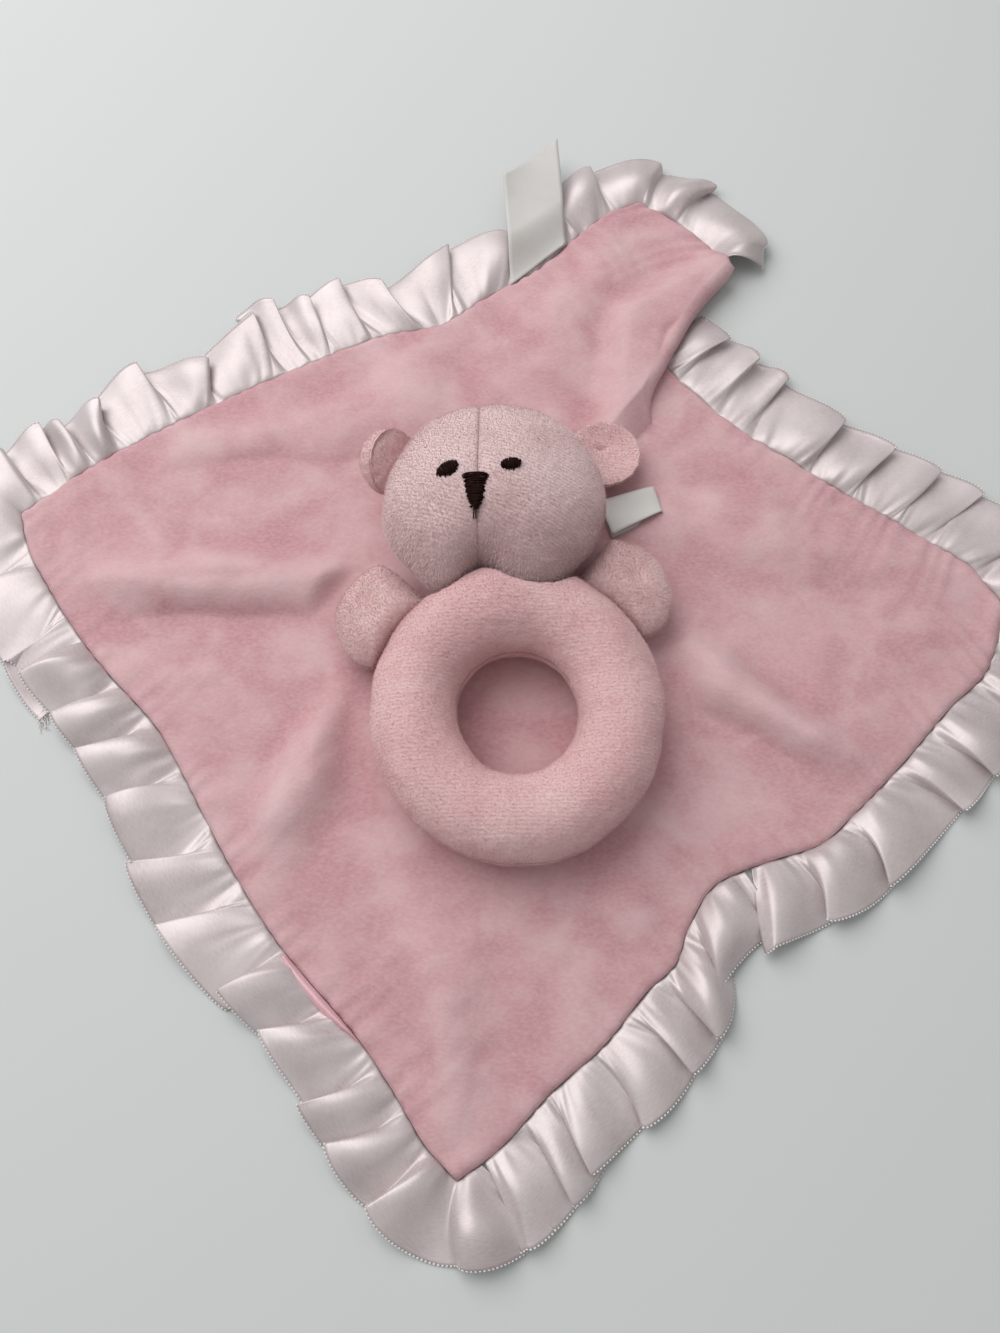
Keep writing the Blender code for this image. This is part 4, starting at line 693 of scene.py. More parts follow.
ruffleFolds = {
    "ruffle_top_left": [
        (-0.250, -0.10, 1.02), (-0.16, -0.35, 0.90), (-0.07, -0.20, 0.92), (0.03, 0.05, 0.95), (0.08, 0.03, 0.94),
        (0.11, -0.03, 0.80), (0.15, 0.14, 0.83), (0.24, -0.18, 1.10), (0.29, 0.22, 0.62), (0.40, -0.20, 1.20),
        (0.44, -0.10, 1.12), (0.47, 0.04, 0.95), (0.54, -0.38, 1.10), (0.61, -0.55, 0.80), (0.65, 0.60, 1.15),
        (0.76, 0.22, 0.62), (0.87, 0.30, 0.70), (0.95, 0.10, 0.80), (1.01, 0.05, 0.72), (1.055, 0.10, 0.84),
        (1.155, 0.05, 0.52),
    ],
    "ruffle_top_right": [
        (1.385, -0.10, 0.90), (1.46, -0.08, 0.98), (1.51, -0.06, 1.02), (1.55, -0.03, 1.05), (1.64, -0.05, 0.89),
        (1.73, -0.06, 0.93), (1.81, 0.03, 0.99), (1.87, 0.25, 1.02), (1.95, 0.08, 0.95), (2.00, 0.00, 0.92),
        (2.06, 0.00, 0.90), (2.12, -0.05, 0.90), (2.21, -0.10, 0.90), (2.28, -0.18, 0.87), (2.37, 0.15, 0.84),
        (2.45, -0.12, 0.83), (2.505, 0.30, 0.98),
    ],
    "ruffle_bottom_right": [
        (2.515, -0.05, 0.92), (2.61, 0.42, 0.60), (2.68, 0.06, 0.88), (2.74, -0.04, 0.92), (2.80, 0.08, 0.90),
        (2.86, 0.18, 0.90), (2.91, 0.10, 0.95), (2.965, 0.20, 0.95),
    ],
    "ruffle_bottom_left": [
        (2.970, -0.30, 0.98), (3.00, -0.10, 0.86), (3.04, 0.05, 0.85), (3.09, 0.14, 0.90), (3.14, 0.17, 0.91),
        (3.22, 0.40, 0.74), (3.31, 0.04, 0.85), (3.39, 0.25, 1.07), (3.47, 0.12, 0.97), (3.56, 0.08, 0.89),
        (3.64, 0.20, 0.92), (3.71, 0.18, 0.80), (3.79, 0.08, 0.80),
    ],
}
ruffle = {
    "stepsPerFold": 44, "stepsAcross": 24, "thickness": 0.00035, "tuck": 0.0012, "crestHeight": 0.0060,
    "archShare": 0.80, "archLeast": 0.0016, "overhang": 0.34, "bow": 0.07, "puckerSize": 0.0048,
    "puckerHeight": 0.0010, "puckerReach": 0.30, "lobeBulge": 0.13, "wrinkleHeight": 0.0012,
    "wrinkleLeast": -0.0010, "floor": 0.0004, "labelPlace": 0.80, "labelReach": 0.06,
    "endLift": {"ruffle_bottom_left": 0.0034}, "startPress": {"ruffle_top_left": 0.75},
    "seamRows": 120, "seamColumns": (40, 12, 70),
    # how much one fold differs from the next
    "crests": (0.55, 1.15), "hangs": (0.70, 1.25), "bows": (-1.0, 1.0), "bulges": (0.4, 1.3),
    "arches": (0.55, 1.20), "skews": (0.60, 1.35),
}


def makeSeamLine():
    # the border of the cloth, without the stretch tucked into the pleat
    before, rolled, after = ruffle["seamColumns"]
    grid, places = clothGrid(ruffle["seamRows"], before, rolled, after, False)
    rows, columns = grid.shape[:2]
    line = [(places[row, 0, 0], grid[row, 0, :3]) for row in range(rows)]
    line += [(1 + places[-1, column, 1], grid[-1, column, :3])
             for column in [*range(1, before), *range(before + rolled, columns)]]
    line += [(3 - places[row, 0, 0], grid[row, -1, :3]) for row in range(rows - 2, -1, -1)]
    line += [(4 - places[0, column, 1], grid[0, column, :3]) for column in range(columns - 2, -1, -1)]
    return np.array([place for place, _ in line]), np.array([point for _, point in line])


seamPlaces, seamPoints = makeSeamLine()


def seamPoint(places):
    places = np.asarray(places) % 4.0
    return np.stack([np.interp(places, seamPlaces, seamPoints[:, axis]) for axis in range(3)], -1)


def seamFrame(places):
    point = seamPoint(places)
    along = seamPoint(np.asarray(places) + 0.03) - seamPoint(np.asarray(places) - 0.03)
    along[..., 2] = 0
    along /= np.linalg.norm(along, axis=-1)[..., None]
    return point, along, np.stack([-along[..., 1], along[..., 0], np.zeros(along.shape[:-1])], -1)


def makeRibbon(name, node, folds, seed):
    draw = np.random.default_rng(seed)
    width = layout["ribbonWidth"]
    count = len(folds)
    knots = np.arange(count)
    table = np.array(folds)
    u = np.linspace(0, count - 1, (count - 1) * ruffle["stepsPerFold"] + 1)
    place = np.interp(u, knots, table[:, 0])
    slipReach = curveThrough(table[:, 1:], knots, u)
    point, along, out = seamFrame(place)
    lobe = np.clip(u.astype(int), 0, count - 2)
    phase = u - lobe
    lobeLength = (np.diff(table[:, 0]) * blanket["side"])[lobe]

    def uneven(spread, shift):
        # a share of its own for each fold (shift 0) or each lobe between two folds (shift 0.5)
        return np.interp(u, knots + shift, draw.uniform(*ruffle[spread], count))
    # height of each fold's crest and how far it hangs over
    crest = uneven("crests", 0) * ruffle["crestHeight"]
    hang = uneven("hangs", 0) * ruffle["overhang"]
    # a fold line bows along its length, and each lobe's outer edge bows out by its own amount
    bow = uneven("bows", 0) * ruffle["bow"] * width
    bulge = uneven("bulges", 0.5) * ruffle["lobeBulge"]
    # ribbon that doesn't reach out flat stands up in an arch of the same length
    spare = np.clip(1 - slipReach[:, 1], 0.0, 0.5)
    arch = np.sqrt(3 * slipReach[:, 1] * spare / 8) * width * ruffle["archShare"]
    arch = np.maximum(arch, ruffle["archLeast"]) * uneven("arches", 0.5)
    arch = arch * (0.66 + 0.34 * np.cos(2 * np.pi * (phase - 0.62)))
    arch = arch * (1 - 0.6 * bell(place - ruffle["labelPlace"], ruffle["labelReach"]))
    skew = uneven("skews", 0.5)
    # where two ribbons meet, the start of one lies pressed flat under the lifted end of the other
    endLift = ruffle["endLift"].get(node, 0.0) * smoothStep(count - 2.0, count - 1.2, u)
    pressed = 1 - ruffle["startPress"].get(node, 0.0) * (1 - smoothStep(0.3, 1.1, u))
    arch = arch * pressed
    crest = crest * pressed
    cords = np.c_[place * blanket["side"], np.full(len(u), seed * 0.11), np.zeros(len(u))]
    fine = noiseAt(cords, ruffle["puckerSize"] * 0.45, 18)
    pucker = 0.5 + noiseAt(cords, ruffle["puckerSize"], 17) + 0.5 * fine
    swing = np.sin(2 * np.pi * phase)
    rise = smoothStep(0.0, 1.0, 0.5 - 0.5 * swing)
    ends = smoothStep(0.0, 0.5, np.minimum(u, count - 1 - u))
    drop = point[:, 2] - midHeight
    rows = []
    for t in np.linspace(0, 1, ruffle["stepsAcross"]):
        reach = slipReach[:, 1] + bulge * (np.sin(np.pi * phase) - 0.55) * t * ends
        lateral = slipReach[:, 0] * t * width - hang * lobeLength * swing * t ** 0.8 * ends
        lateral = lateral + bow * math.sin(math.pi * t)
        low = midHeight + (ruffle["floor"] - midHeight) * t + drop * (1 - t) ** 0.7
        high = crest * rise * (t ** 0.9) * (0.6 + 0.4 * t)
        belly = arch * np.sin(np.pi * t ** skew) * (1 - 0.15 * t)
        fade = math.exp(-t / ruffle["puckerReach"]) * (1 - math.exp(-t / 0.05))
        spot = np.c_[u * 0.9 + t * 0.25, np.full(len(u), t * 0.8 + seed), np.zeros(len(u))]
        wrinkle = noiseAt(spot, 0.60, 7) * ruffle["wrinkleHeight"] * math.sin(math.pi * t) ** 0.5
        height = low + high + belly + ruffle["puckerHeight"] * fade * pucker + endLift * t ** 0.5
        height = height + np.maximum(wrinkle, ruffle["wrinkleLeast"])
        start = layout["ribbonClearance"] - ruffle["tuck"] * (1 - t) ** 4
        row = point + out * (start + reach * t * width)[:, None] + along * lateral[:, None]
        row[:, 2] = np.maximum(height, ruffle["thickness"] / 2 + 0.0001)
        rows.append(row)
    grid = np.array(rows)
    length = np.concatenate([[0], np.cumsum(np.linalg.norm(np.diff(grid[-1], axis=0), axis=1))])
    uv = np.stack(np.broadcast_arrays(length[None, :], np.linspace(0, width, len(grid))[:, None]), -1)
    _, quads = gridQuads(*grid.shape[:2])
    made = thickSheet(name, grid, quads[:, [0, 3, 2, 1]], uv, ruffle["thickness"], ribbonSatin)
    return made, grid[-1] + shiftRow, length[-1], grid[:, 3::-1] + shiftRow


def thickSheet(name, grid, quads, uv, thickness, material):
    made = meshFrom(name, grid.reshape(-1, 3) + shiftRow, quads.tolist())
    setUv(made, uv.reshape(-1, 2))
    wall = made.modifiers.new("thickness", "SOLIDIFY")
    wall.thickness, wall.offset = thickness, 0.0
    made.data.materials.append(material)
    return applied(made)


def applied(made):
    # the object with its modifiers made real
    graph = bpy.context.evaluated_depsgraph_get()
    mesh = bpy.data.meshes.new_from_object(made.evaluated_get(graph))
    made.modifiers.clear()
    old = made.data
    made.data = mesh
    bpy.data.meshes.remove(old)
    return made


def bodyTree(name, inputs):
    # an empty tree that takes a shape, its own inputs and a material
    tree = bpy.data.node_groups.new(name, "GeometryNodeTree")
    tree.interface.new_socket("Geometry", in_out="OUTPUT", socket_type="NodeSocketGeometry")
    for label, kind in {"Geometry": "Geometry", **inputs, "Material": "Material"}.items():
        tree.interface.new_socket(label, in_out="INPUT", socket_type="NodeSocket" + kind)
    return tree, tree.nodes.new("NodeGroupInput")


def finishTree(tree, given, shapes):
    # the shapes leave the tree as plain faces of the given material
    real = addNode(tree, "GeometryNodeRealizeInstances", None, {"Geometry": shapes})
    coloured = addNode(tree, "GeometryNodeSetMaterial", None, {
        "Geometry": real.outputs[0], "Material": given.outputs["Material"]})
    result = tree.nodes.new("NodeGroupOutput")
    tree.links.new(coloured.outputs[0], result.inputs["Geometry"])
    return tree


def makePicotTree():
    # beads of thread set along an edge: one small stretched ball at each stitch
    tree, given = bodyTree("picotEdge", {"Step": "Float", "Length": "Float", "Width": "Float"})
    curve = addNode(tree, "GeometryNodeMeshToCurve", None, {"Mesh": given.outputs["Geometry"]})
    spaced = addNode(tree, "GeometryNodeResampleCurve", {"mode": "LENGTH"}, {
        "Curve": curve.outputs[0], "Length": given.outputs["Step"]})
    tangent = addNode(tree, "GeometryNodeInputTangent")
    turn = addNode(tree, "FunctionNodeAlignRotationToVector", {"axis": "X"}, {"Vector": tangent.outputs[0]})
    ball = addNode(tree, "GeometryNodeMeshUVSphere", None, {"Segments": 6, "Rings": 4, "Radius": 0.5})
    size = addNode(tree, "ShaderNodeCombineXYZ", None, {
        "X": given.outputs["Length"], "Y": given.outputs["Width"], "Z": given.outputs["Width"]})
    points = addNode(tree, "GeometryNodeInstanceOnPoints", None, {
        "Points": spaced.outputs[0], "Instance": ball.outputs[0], "Rotation": turn.outputs[0],
        "Scale": size.outputs[0]})
    return finishTree(tree, given, points.outputs[0])


def makeStrandTree():
    # threads that follow drawn lines
    tree, given = bodyTree("threadStrands", {"Radius": "Float", "Sides": "Int"})
    curve = addNode(tree, "GeometryNodeMeshToCurve", None, {"Mesh": given.outputs["Geometry"]})
    circle = addNode(tree, "GeometryNodeCurvePrimitiveCircle", None, {
        "Resolution": given.outputs["Sides"], "Radius": given.outputs["Radius"]})
    tube = addNode(tree, "GeometryNodeCurveToMesh", None, {
        "Curve": curve.outputs[0], "Profile Curve": circle.outputs[0], "Fill Caps": True})
    return finishTree(tree, given, tube.outputs[0])


def linesObject(name, lines):
    points, edges = [], []
    for line in lines:
        edges += [(len(points) + i, len(points) + i + 1) for i in range(len(line) - 1)]
        points += [tuple(p) for p in line]
    mesh = bpy.data.meshes.new(name)
    mesh.from_pydata(points, edges, [])
    made = bpy.data.objects.new(name, mesh)
    bpy.context.scene.collection.objects.link(made)
    return made


def runTree(made, tree, values):
    # the tree's result as a plain mesh; inputs are set by the sockets' identifiers
    grown = made.modifiers.new("made", "NODES")
    grown.node_group = tree
    for item in tree.interface.items_tree:
        if item.item_type == "SOCKET" and item.in_out == "INPUT" and item.name in values:
            grown[item.identifier] = values[item.name]
    made = applied(made)
    made.data.shade_smooth()
    return made


def makePileTree():
    # tufts of pile: small pointed cones that stand on a surface, combed one way and a little untidy
    tree, given = bodyTree("standingPile", {
        "Tufts Per Area": "Float", "Length": "Float", "Width": "Float", "Comb": "Vector", "Jitter": "Float",
        "Seed": "Int"})
    share = addNode(tree, "GeometryNodeInputNamedAttribute", {"data_type": "FLOAT"}, {"Name": "grows"})
    dense = mathNode(tree, "MULTIPLY", share.outputs[0], given.outputs["Tufts Per Area"])
    spread = addNode(tree, "GeometryNodeDistributePointsOnFaces", {"distribute_method": "RANDOM"}, {
        "Mesh": given.outputs["Geometry"], "Density": dense, "Seed": given.outputs["Seed"]})
    messy = addNode(tree, "FunctionNodeRandomValue", {"data_type": "FLOAT_VECTOR"}, {
        0: (-1.0, -1.0, -1.0), 1: (1.0, 1.0, 1.0), "Seed": given.outputs["Seed"]})
    scaled = addNode(tree, "ShaderNodeVectorMath", {"operation": "SCALE"}, {
        0: messy.outputs[0], "Scale": given.outputs["Jitter"]})
    combed = addNode(tree, "ShaderNodeVectorMath", None, {0: spread.outputs["Normal"], 1: given.outputs["Comb"]})
    way = addNode(tree, "ShaderNodeVectorMath", None, {0: combed.outputs[0], 1: scaled.outputs[0]})
    turn = addNode(tree, "FunctionNodeAlignRotationToVector", {"axis": "Z"}, {"Vector": way.outputs[0]})
    grown = addNode(tree, "FunctionNodeRandomValue", {"data_type": "FLOAT"}, {
        2: 0.55, 3: 1.15, "Seed": given.outputs["Seed"]})
    longer = addNode(tree, "GeometryNodeInputNamedAttribute", {"data_type": "FLOAT"}, {"Name": "longer"})
    own = mathNode(tree, "MULTIPLY", grown.outputs[1], longer.outputs[0])
    length = mathNode(tree, "MULTIPLY", own, given.outputs["Length"])
    size = addNode(tree, "ShaderNodeCombineXYZ", None, {
        "X": given.outputs["Width"], "Y": given.outputs["Width"], "Z": length})
    tuft = addNode(tree, "GeometryNodeMeshCone", {"fill_type": "NGON"}, {
        "Vertices": 3, "Radius Top": 0.0, "Radius Bottom": 0.5, "Depth": 1.0})
    stand = addNode(tree, "GeometryNodeInstanceOnPoints", None, {
        "Points": spread.outputs["Points"], "Instance": tuft.outputs[0], "Rotation": turn.outputs[0],
        "Scale": size.outputs[0]})
    return finishTree(tree, given, stand.outputs[0])


picotTree, strandTree, pileTree = makePicotTree(), makeStrandTree(), makePileTree()
rawEnds = {}
for seed, (node, folds) in enumerate(ruffleFolds.items()):
    title = "".join(w.capitalize() if i else w for i, w in enumerate(node.split("_")))
    ribbon, outerEdge, edgeLength, rawEnds[node] = makeRibbon(title, node, folds, seed + 1)
    finishPiece(ribbon, "blanket", [node], ribbonSatin)
    picot = linesObject(title + "Picot", [outerEdge])
    picot = runTree(picot, picotTree, {"Step": 0.0013, "Length": 0.0011, "Width": 0.0007, "Material": edgeThread})
    finishPiece(picot, "blanket", None, edgeThread)
    print("ribbon", node, "outer edge", round(edgeLength, 3), "m")

fray = {"threads": 34, "from": 0.45, "length": (0.0015, 0.0060), "radius": 0.00013, "wander": 0.0009}


def makeFray(end):
    # loose threads at the raw end of a ribbon, most of them at its outer corner
    draw = np.random.default_rng(31)
    lines = []
    for _ in range(fray["threads"]):
        t = 1 - (1 - fray["from"]) * draw.uniform() ** 1.8
        place = t * (len(end) - 1)
        index = min(int(place), len(end) - 2)
        start = end[index, -1] + (end[index + 1, -1] - end[index, -1]) * (place - index)
        way = end[index, -1] - end[index, 0]
        out = end[-1, -1] - end[0, -1]
        way = way / np.linalg.norm(way) + out / np.linalg.norm(out) * draw.uniform(-0.2, 0.6)
        way = way / np.linalg.norm(way)
        length = draw.uniform(*fray["length"])
        side = draw.normal(0, fray["wander"], 2)
        line = []
        for share in np.linspace(0, 1, 7):
            spot = start - way * 0.0006 + way * (length + 0.0006) * share
            spot[:2] += side * share ** 2
            spot[2] = max(spot[2] - share ** 2 * (0.6 * length), 0.0003)
            line.append(spot)
        lines.append(line)
    made = linesObject("rawEndThreads", lines)
    made = runTree(made, strandTree, {"Radius": fray["radius"], "Sides": 4, "Material": edgeThread})
    finishPiece(made, "blanket", None, edgeThread)


makeFray(rawEnds["ruffle_top_left"])
print("raw end made")

# lower left edge: the satin back rolls out between the plush and the ribbon

lip = {"from": 3.165, "to": 3.310, "width": 0.0034, "height": 0.0026, "thickness": 0.0006}


def makeLip():
    places = np.linspace(lip["from"], lip["to"], 61)
    point, _, out = seamFrame(places)
    share = np.linspace(0, 1, 61)
    wide = lip["width"] * smoothStep(0.0, 0.55, share) * (1 - 0.35 * smoothStep(0.75, 1.0, share))
    top, bottom, uv = [], [], []
    for across in np.linspace(0, 1, 9):
        spot = point + out * (across * wide + 0.0002)[:, None]
        arch = math.sin(math.pi * (0.15 + 0.75 * across))
        spot[:, 2] = midHeight + 0.0006 + lip["height"] * arch * smoothStep(0.0, 0.25, share)
        top.append(spot)
        low = spot.copy()
        low[:, 2] -= lip["thickness"]
        bottom.append(low)
        uv.append(np.stack([share * 0.04, np.full(61, across * lip["width"])], -1))
    made = sheetObject("satinLip", np.array(top)[::-1], np.array(bottom)[::-1], np.array(uv)[::-1])
    finishPiece(made, "blanket", None, pinkSatin)
makeLip()
print("satin lip made")

# bear: the shapes of the head, ring, arms and ears as they are cut

pile = {
    "grooveDepth": 0.0004, "grooveWidth": 0.0007, "pullDepth": 0.0004, "pullWidth": 0.0040, "seamShadeWidth": 0.0007,
    "lumpHeight": 0.0004, "lumpSize": 0.012, "tuftHeight": 0.00015, "tuftSize": 0.0028,
    "room": 0.0004, "tuftsPerArea": 4.2e6, "length": 0.0009, "width": 0.00022, "jitter": 0.38,
}


def headSizes(unit, inset):
    wide, tall, deep = head["half"]
    cheek = bell(unit[:, 1] + 0.25, 0.45)
    lobes = bell(np.abs(unit[:, 0] - 0.02) - 0.45, 0.28) * np.maximum(-unit[:, 1], 0)
    pinch = bell(unit[:, 0] - head["faceSeam"], head["pinchWidth"]) * np.maximum(-unit[:, 1], 0) ** 2
    jowl = head["jowl"] * np.maximum(-unit[:, 1], 0) * np.abs(unit[:, 0]) * (1 - unit[:, 0])
    swell = head["cheek"] * lobes - head["chinPinch"] * pinch + jowl
    return np.stack([
        (wide - inset) * (1 + 0.04 * cheek + jowl), (tall - inset) * (1 + swell), deep - inset + 0 * cheek], -1)


def headPoint(unit, inset=0.0):
    unit = np.atleast_2d(unit)
    inset = np.broadcast_to(inset, len(unit))
    place = unit * headSizes(unit, inset)
    place[:, 2] = np.maximum(place[:, 2], inset - head["half"][2] * head["backFlat"])
    return np.array(headCentre) + place


def outOfHead(points, clearance):
    # points that the head would press on, moved out to just beside it
    offset = points - np.array(headCentre)
    unit = offset / np.linalg.norm(offset, axis=1)[:, None]
    for _ in range(8):
        unit = offset / headSizes(unit, np.zeros(len(unit)))
        unit /= np.linalg.norm(unit, axis=1)[:, None]
    limit = np.linalg.norm(headPoint(unit) - np.array(headCentre), axis=1) + clearance
    length = np.linalg.norm(offset, axis=1)
    return np.array(headCentre) + offset * (np.maximum(limit, length) / length)[:, None]


def planOutline(name, clearance):
    # the head or the ring from above, moved out by the clearance
    turn = np.linspace(0, 2 * np.pi, 96, endpoint=False)
    way = np.stack([np.cos(turn), np.sin(turn), 0 * turn], -1)
    if name == "head":
        place = headPoint(way)[:, :2]
        outward = place - np.array(headCentre)[:2]
        outward /= np.linalg.norm(outward, axis=1)[:, None]
    else:
        tube = ring["tube"]
        place = np.array(ringCentre)[:2] + way[:, :2] * (ring["mid"][0] + tube, ring["mid"][1] + tube)
        outward = way[:, :2]
    return place + outward * clearance


def roomBeside(centre, ways, outlines):
    # how far level rays from a point can go before they meet an outline
    nearest = np.full(len(ways), 1.0)
    for outline in outlines:
        edge = np.roll(outline, -1, 0) - outline
        offset = outline - centre
        across = ways[:, None, 0] * edge[None, :, 1] - ways[:, None, 1] * edge[None, :, 0]
        across = np.where(np.abs(across) < 1e-9, np.nan, across)
        along = (offset[:, 0] * edge[:, 1] - offset[:, 1] * edge[:, 0])[None] / across
        share = (offset[None, :, 0] * ways[:, None, 1] - offset[None, :, 1] * ways[:, None, 0]) / across
        good = (along > 0) & (share >= 0) & (share <= 1)
        nearest = np.minimum(nearest, np.where(good, along, 1.0).min(1))
    return nearest


def fitBeside(centre, local, reach, outlines):
    # level offsets shrunk in step with the room there is in their direction
    level = np.linalg.norm(local[:, :2], axis=1)
    ways = local[:, :2] / np.maximum(level, 1e-9)[:, None]
    room = roomBeside(np.array(centre)[:2], ways, outlines)
    local = local.copy()
    # a rounded corner where the outline begins to press
    share = np.maximum(room / reach, 1e-3)
    share = (share ** -5.0 + 1) ** -0.2
    share = np.where(level > 1e-7, share, 1.0)
    local[:, :2] *= share[:, None]
    return local, share


def turnedZ(points, degrees):
    c, s = math.cos(math.radians(degrees)), math.sin(math.radians(degrees))
    return np.stack([points[:, 0] * c - points[:, 1] * s, points[:, 0] * s + points[:, 1] * c, points[:, 2]], -1)


def ringPoint(unit, inset=0.0):
    turn, around = unit[:, 0], unit[:, 1]
    swell = 1 + ring["neckSwell"] * np.maximum(np.sin(turn), 0) ** 2
    upper = np.maximum(np.sin(around), 0)
    swell = swell + ring["neckRise"] * bell(np.sin((turn - ring["neckTurn"]) / 2), 0.24) * upper
    tube = ring["tube"] * swell - inset
    reach = np.cos(around) * tube
    level = np.maximum(np.sin(around) * tube, inset - ring["tube"])
    place = np.array(ringCentre) + np.stack([
        np.cos(turn) * (ring["mid"][0] + reach), np.sin(turn) * (ring["mid"][1] + reach), level], -1)
    return outOfHead(place, ring["clearance"] + inset)


def armRoot(name):
    centre = armCentre(name)
    towards = Vector((layout["neck"][0] - centre.x, (layout["neck"][1] - centre.y) / 2)).normalized()
    outlines = [planOutline(part, arm["clearance"]) for part in ("head", "ring")]
    room = min(roomBeside(np.array(centre)[:2], np.array([towards]), outlines)[0], arm["half"][0])
    return centre + Vector((towards.x, towards.y, 0.0)) * room


def armPoint(name, unit, inset=0.0):
    centre = armCentre(name)
    sizes = np.array(arm["half"])[None, :] - np.broadcast_to(inset, len(unit))[:, None]
    local = turnedZ(unit * sizes, arm["turn"][name])
    level = np.linalg.norm(unit[:, :2], axis=1)
    rim = unit[:, :2] / np.maximum(level, 1e-9)[:, None]
    reach = np.where(level > 1e-6, np.linalg.norm(rim * sizes[:, :2], axis=1), 1.0)
    outlines = [planOutline(part, arm["clearance"] + float(np.mean(inset))) for part in ("head", "ring")]
    towards = np.array((armRoot(name) - centre).normalized())
    ways = local[:, :2] / np.maximum(np.linalg.norm(local[:, :2], axis=1), 1e-9)[:, None]
    longer = 1 + arm["neck"] * np.maximum(ways @ towards[:2], 0) ** 2
    local[:, :2] *= longer[:, None]
    local, pressed = fitBeside(centre, local, reach * longer, outlines)
    # cloth pressed against the ring or the head stays high up to it
    local[:, 2] *= np.maximum(np.abs(unit[:, 2]), 1e-4) ** (np.clip(pressed, arm["full"], 1) - 1)
    share = np.minimum(np.maximum(local @ towards, 0) / arm["half"][0], 1.15)
    local[:, 2] *= 1 - arm["root"] * share ** 2
    return np.array(centre) + local


def earPivot(name):
    centre = earCentre(name)
    towards = np.array((headCentre - centre).to_2d().normalized())
    room = roomBeside(np.array(centre)[:2], towards[None], [planOutline("head", layout["seatClearance"])])[0]
    return Vector((centre.x + towards[0] * room, centre.y + towards[1] * room, centre.z))


def earPoint(name, unit, inset=0.0):
    centre, pivot = earCentre(name), earPivot(name)
    inset = np.broadcast_to(inset, len(unit))
    level = (unit[:, :2] ** 2).sum(1)
    width = ear["half"][0] - inset
    outward = np.array((centre - headCentre).to_2d().normalized())
    lean = level ** 3 * (0.6 + 0.4 * unit[:, :2] @ outward)
    cup = ear["cup"] * ear["hollow"][name] * (level - 1) + ear["curl"][name] * lean
    puff = np.where(unit[:, 2] > 0, ear["puff"][name], ear["backPuff"])
    thick = unit[:, 2] * (ear["half"][1] - inset) * puff
    local = np.stack([unit[:, 0] * width, unit[:, 1] * width, thick + cup], -1)
    local[:, :2] *= (1 - ear["draw"][name] * lean)[:, None]
    outline = planOutline("head", layout["seatClearance"] + float(inset.mean()))
    place = np.array(centre) + fitBeside(centre, local, width, [outline])[0]
    axis = Vector((outward[1], -outward[0], 0.0))
    turn = np.array(Matrix.Rotation(math.radians(ear["tilt"][name]), 3, axis))
    return np.array(pivot) + (place - np.array(pivot)) @ turn.T


def ballNet(segments, rings, cuts):
    # unit ball without the parts beyond the planes
    net = bmesh.new()
    bmesh.ops.create_uvsphere(net, u_segments=segments, v_segments=rings, radius=1.0)
    for place, way in cuts:
        bmesh.ops.bisect_plane(
            net, geom=net.verts[:] + net.edges[:] + net.faces[:], plane_co=place, plane_no=way, clear_outer=True)
    bmesh.ops.recalc_face_normals(net, faces=net.faces[:])
    return orderedNet(net)


def orderedNet(net):
    # points and faces in the same order on each run, so that the pile stands in the same places
    net.verts.index_update()
    places = np.round([v.co[:] for v in net.verts], 6)
    order = np.lexsort(places.T)
    rank = np.empty(len(order), int)
    rank[order] = np.arange(len(order))
    faces = []
    for face in net.faces:
        loop = [int(rank[v.index]) for v in face.verts]
        first = loop.index(min(loop))
        faces.append(loop[first:] + loop[:first])
    net.free()
    made = bmesh.new()
    points = [made.verts.new(places[i]) for i in order]
    for loop in sorted(faces):
        made.faces.new([points[i] for i in loop])
    return made


def halfBall(segments, rings, way, gap):
    # the front (1) or back (-1) half of the ball, short of the middle by the gap
    return ballNet(segments, rings, [((0, 0, way * gap), (0, 0, -way))])


def gridNet(turns, arounds, closed=False):
    # net of a tube's skin: its points hold the turn round the ring and the place round the tube
    net = bmesh.new()
    rows = [[net.verts.new((2 * math.pi * i / turns, around, 0)) for around in arounds] for i in range(turns)]
    last = len(arounds) - 1
    cells = [(i, j, j + 1) for i in range(turns) for j in range(last)]
    cells += [(i, last, 0) for i in range(turns if closed else 0)]
    for i, j, k in cells:
        row, following = rows[i], rows[(i + 1) % turns]
        net.faces.new((row[j], following[j], following[k], row[k]))
    return net


def netArrays(net):
    # points, faces and the edges of the open rim of a net, which is then done with
    net.verts.index_update()
    units = np.array([v.co[:] for v in net.verts])
    faces = [[v.index for v in f.verts] for f in net.faces]
    rim = [(e.link_loops[0].vert.index, e.link_loops[0].link_loop_next.vert.index)
           for e in net.edges if e.is_boundary]
    net.free()
    return units, faces, rim


def skinPiece(name, net, outer, inner):
    # closed skin between an outer and an inner surface, joined round the open rim
    units, faces, rim = netArrays(net)
    count = len(units)
    faces += [[i + count for i in reversed(f)] for f in faces]
    faces += [[b, a, a + count, b + count] for a, b in rim]
    made = meshFrom(name, np.concatenate([outer(units), inner(units)]) + shiftRow, faces)
    return made, units


def velourPanel(title, net, point, inset, skin, paintedShadeAt, body, node, material):
    # a sewn panel as thick as its skin; the function given after the skin says how much painted shade each place
    # gets near a seam (and, on the head, under the chin)
    made, units = skinPiece(
        title, net, lambda unit: point(unit, inset(unit)), lambda unit: point(unit, inset(unit) + skin))
    setMark(made, "paintedShade", np.tile(paintedShadeAt(units), 2))
    return finishPiece(made, body, [node], material)


def lumpsAt(points, seed):
    return noiseAt(points, pile["lumpSize"], seed) * pile["lumpHeight"] + noiseAt(
        points, pile["tuftSize"], seed + 1) * pile["tuftHeight"]


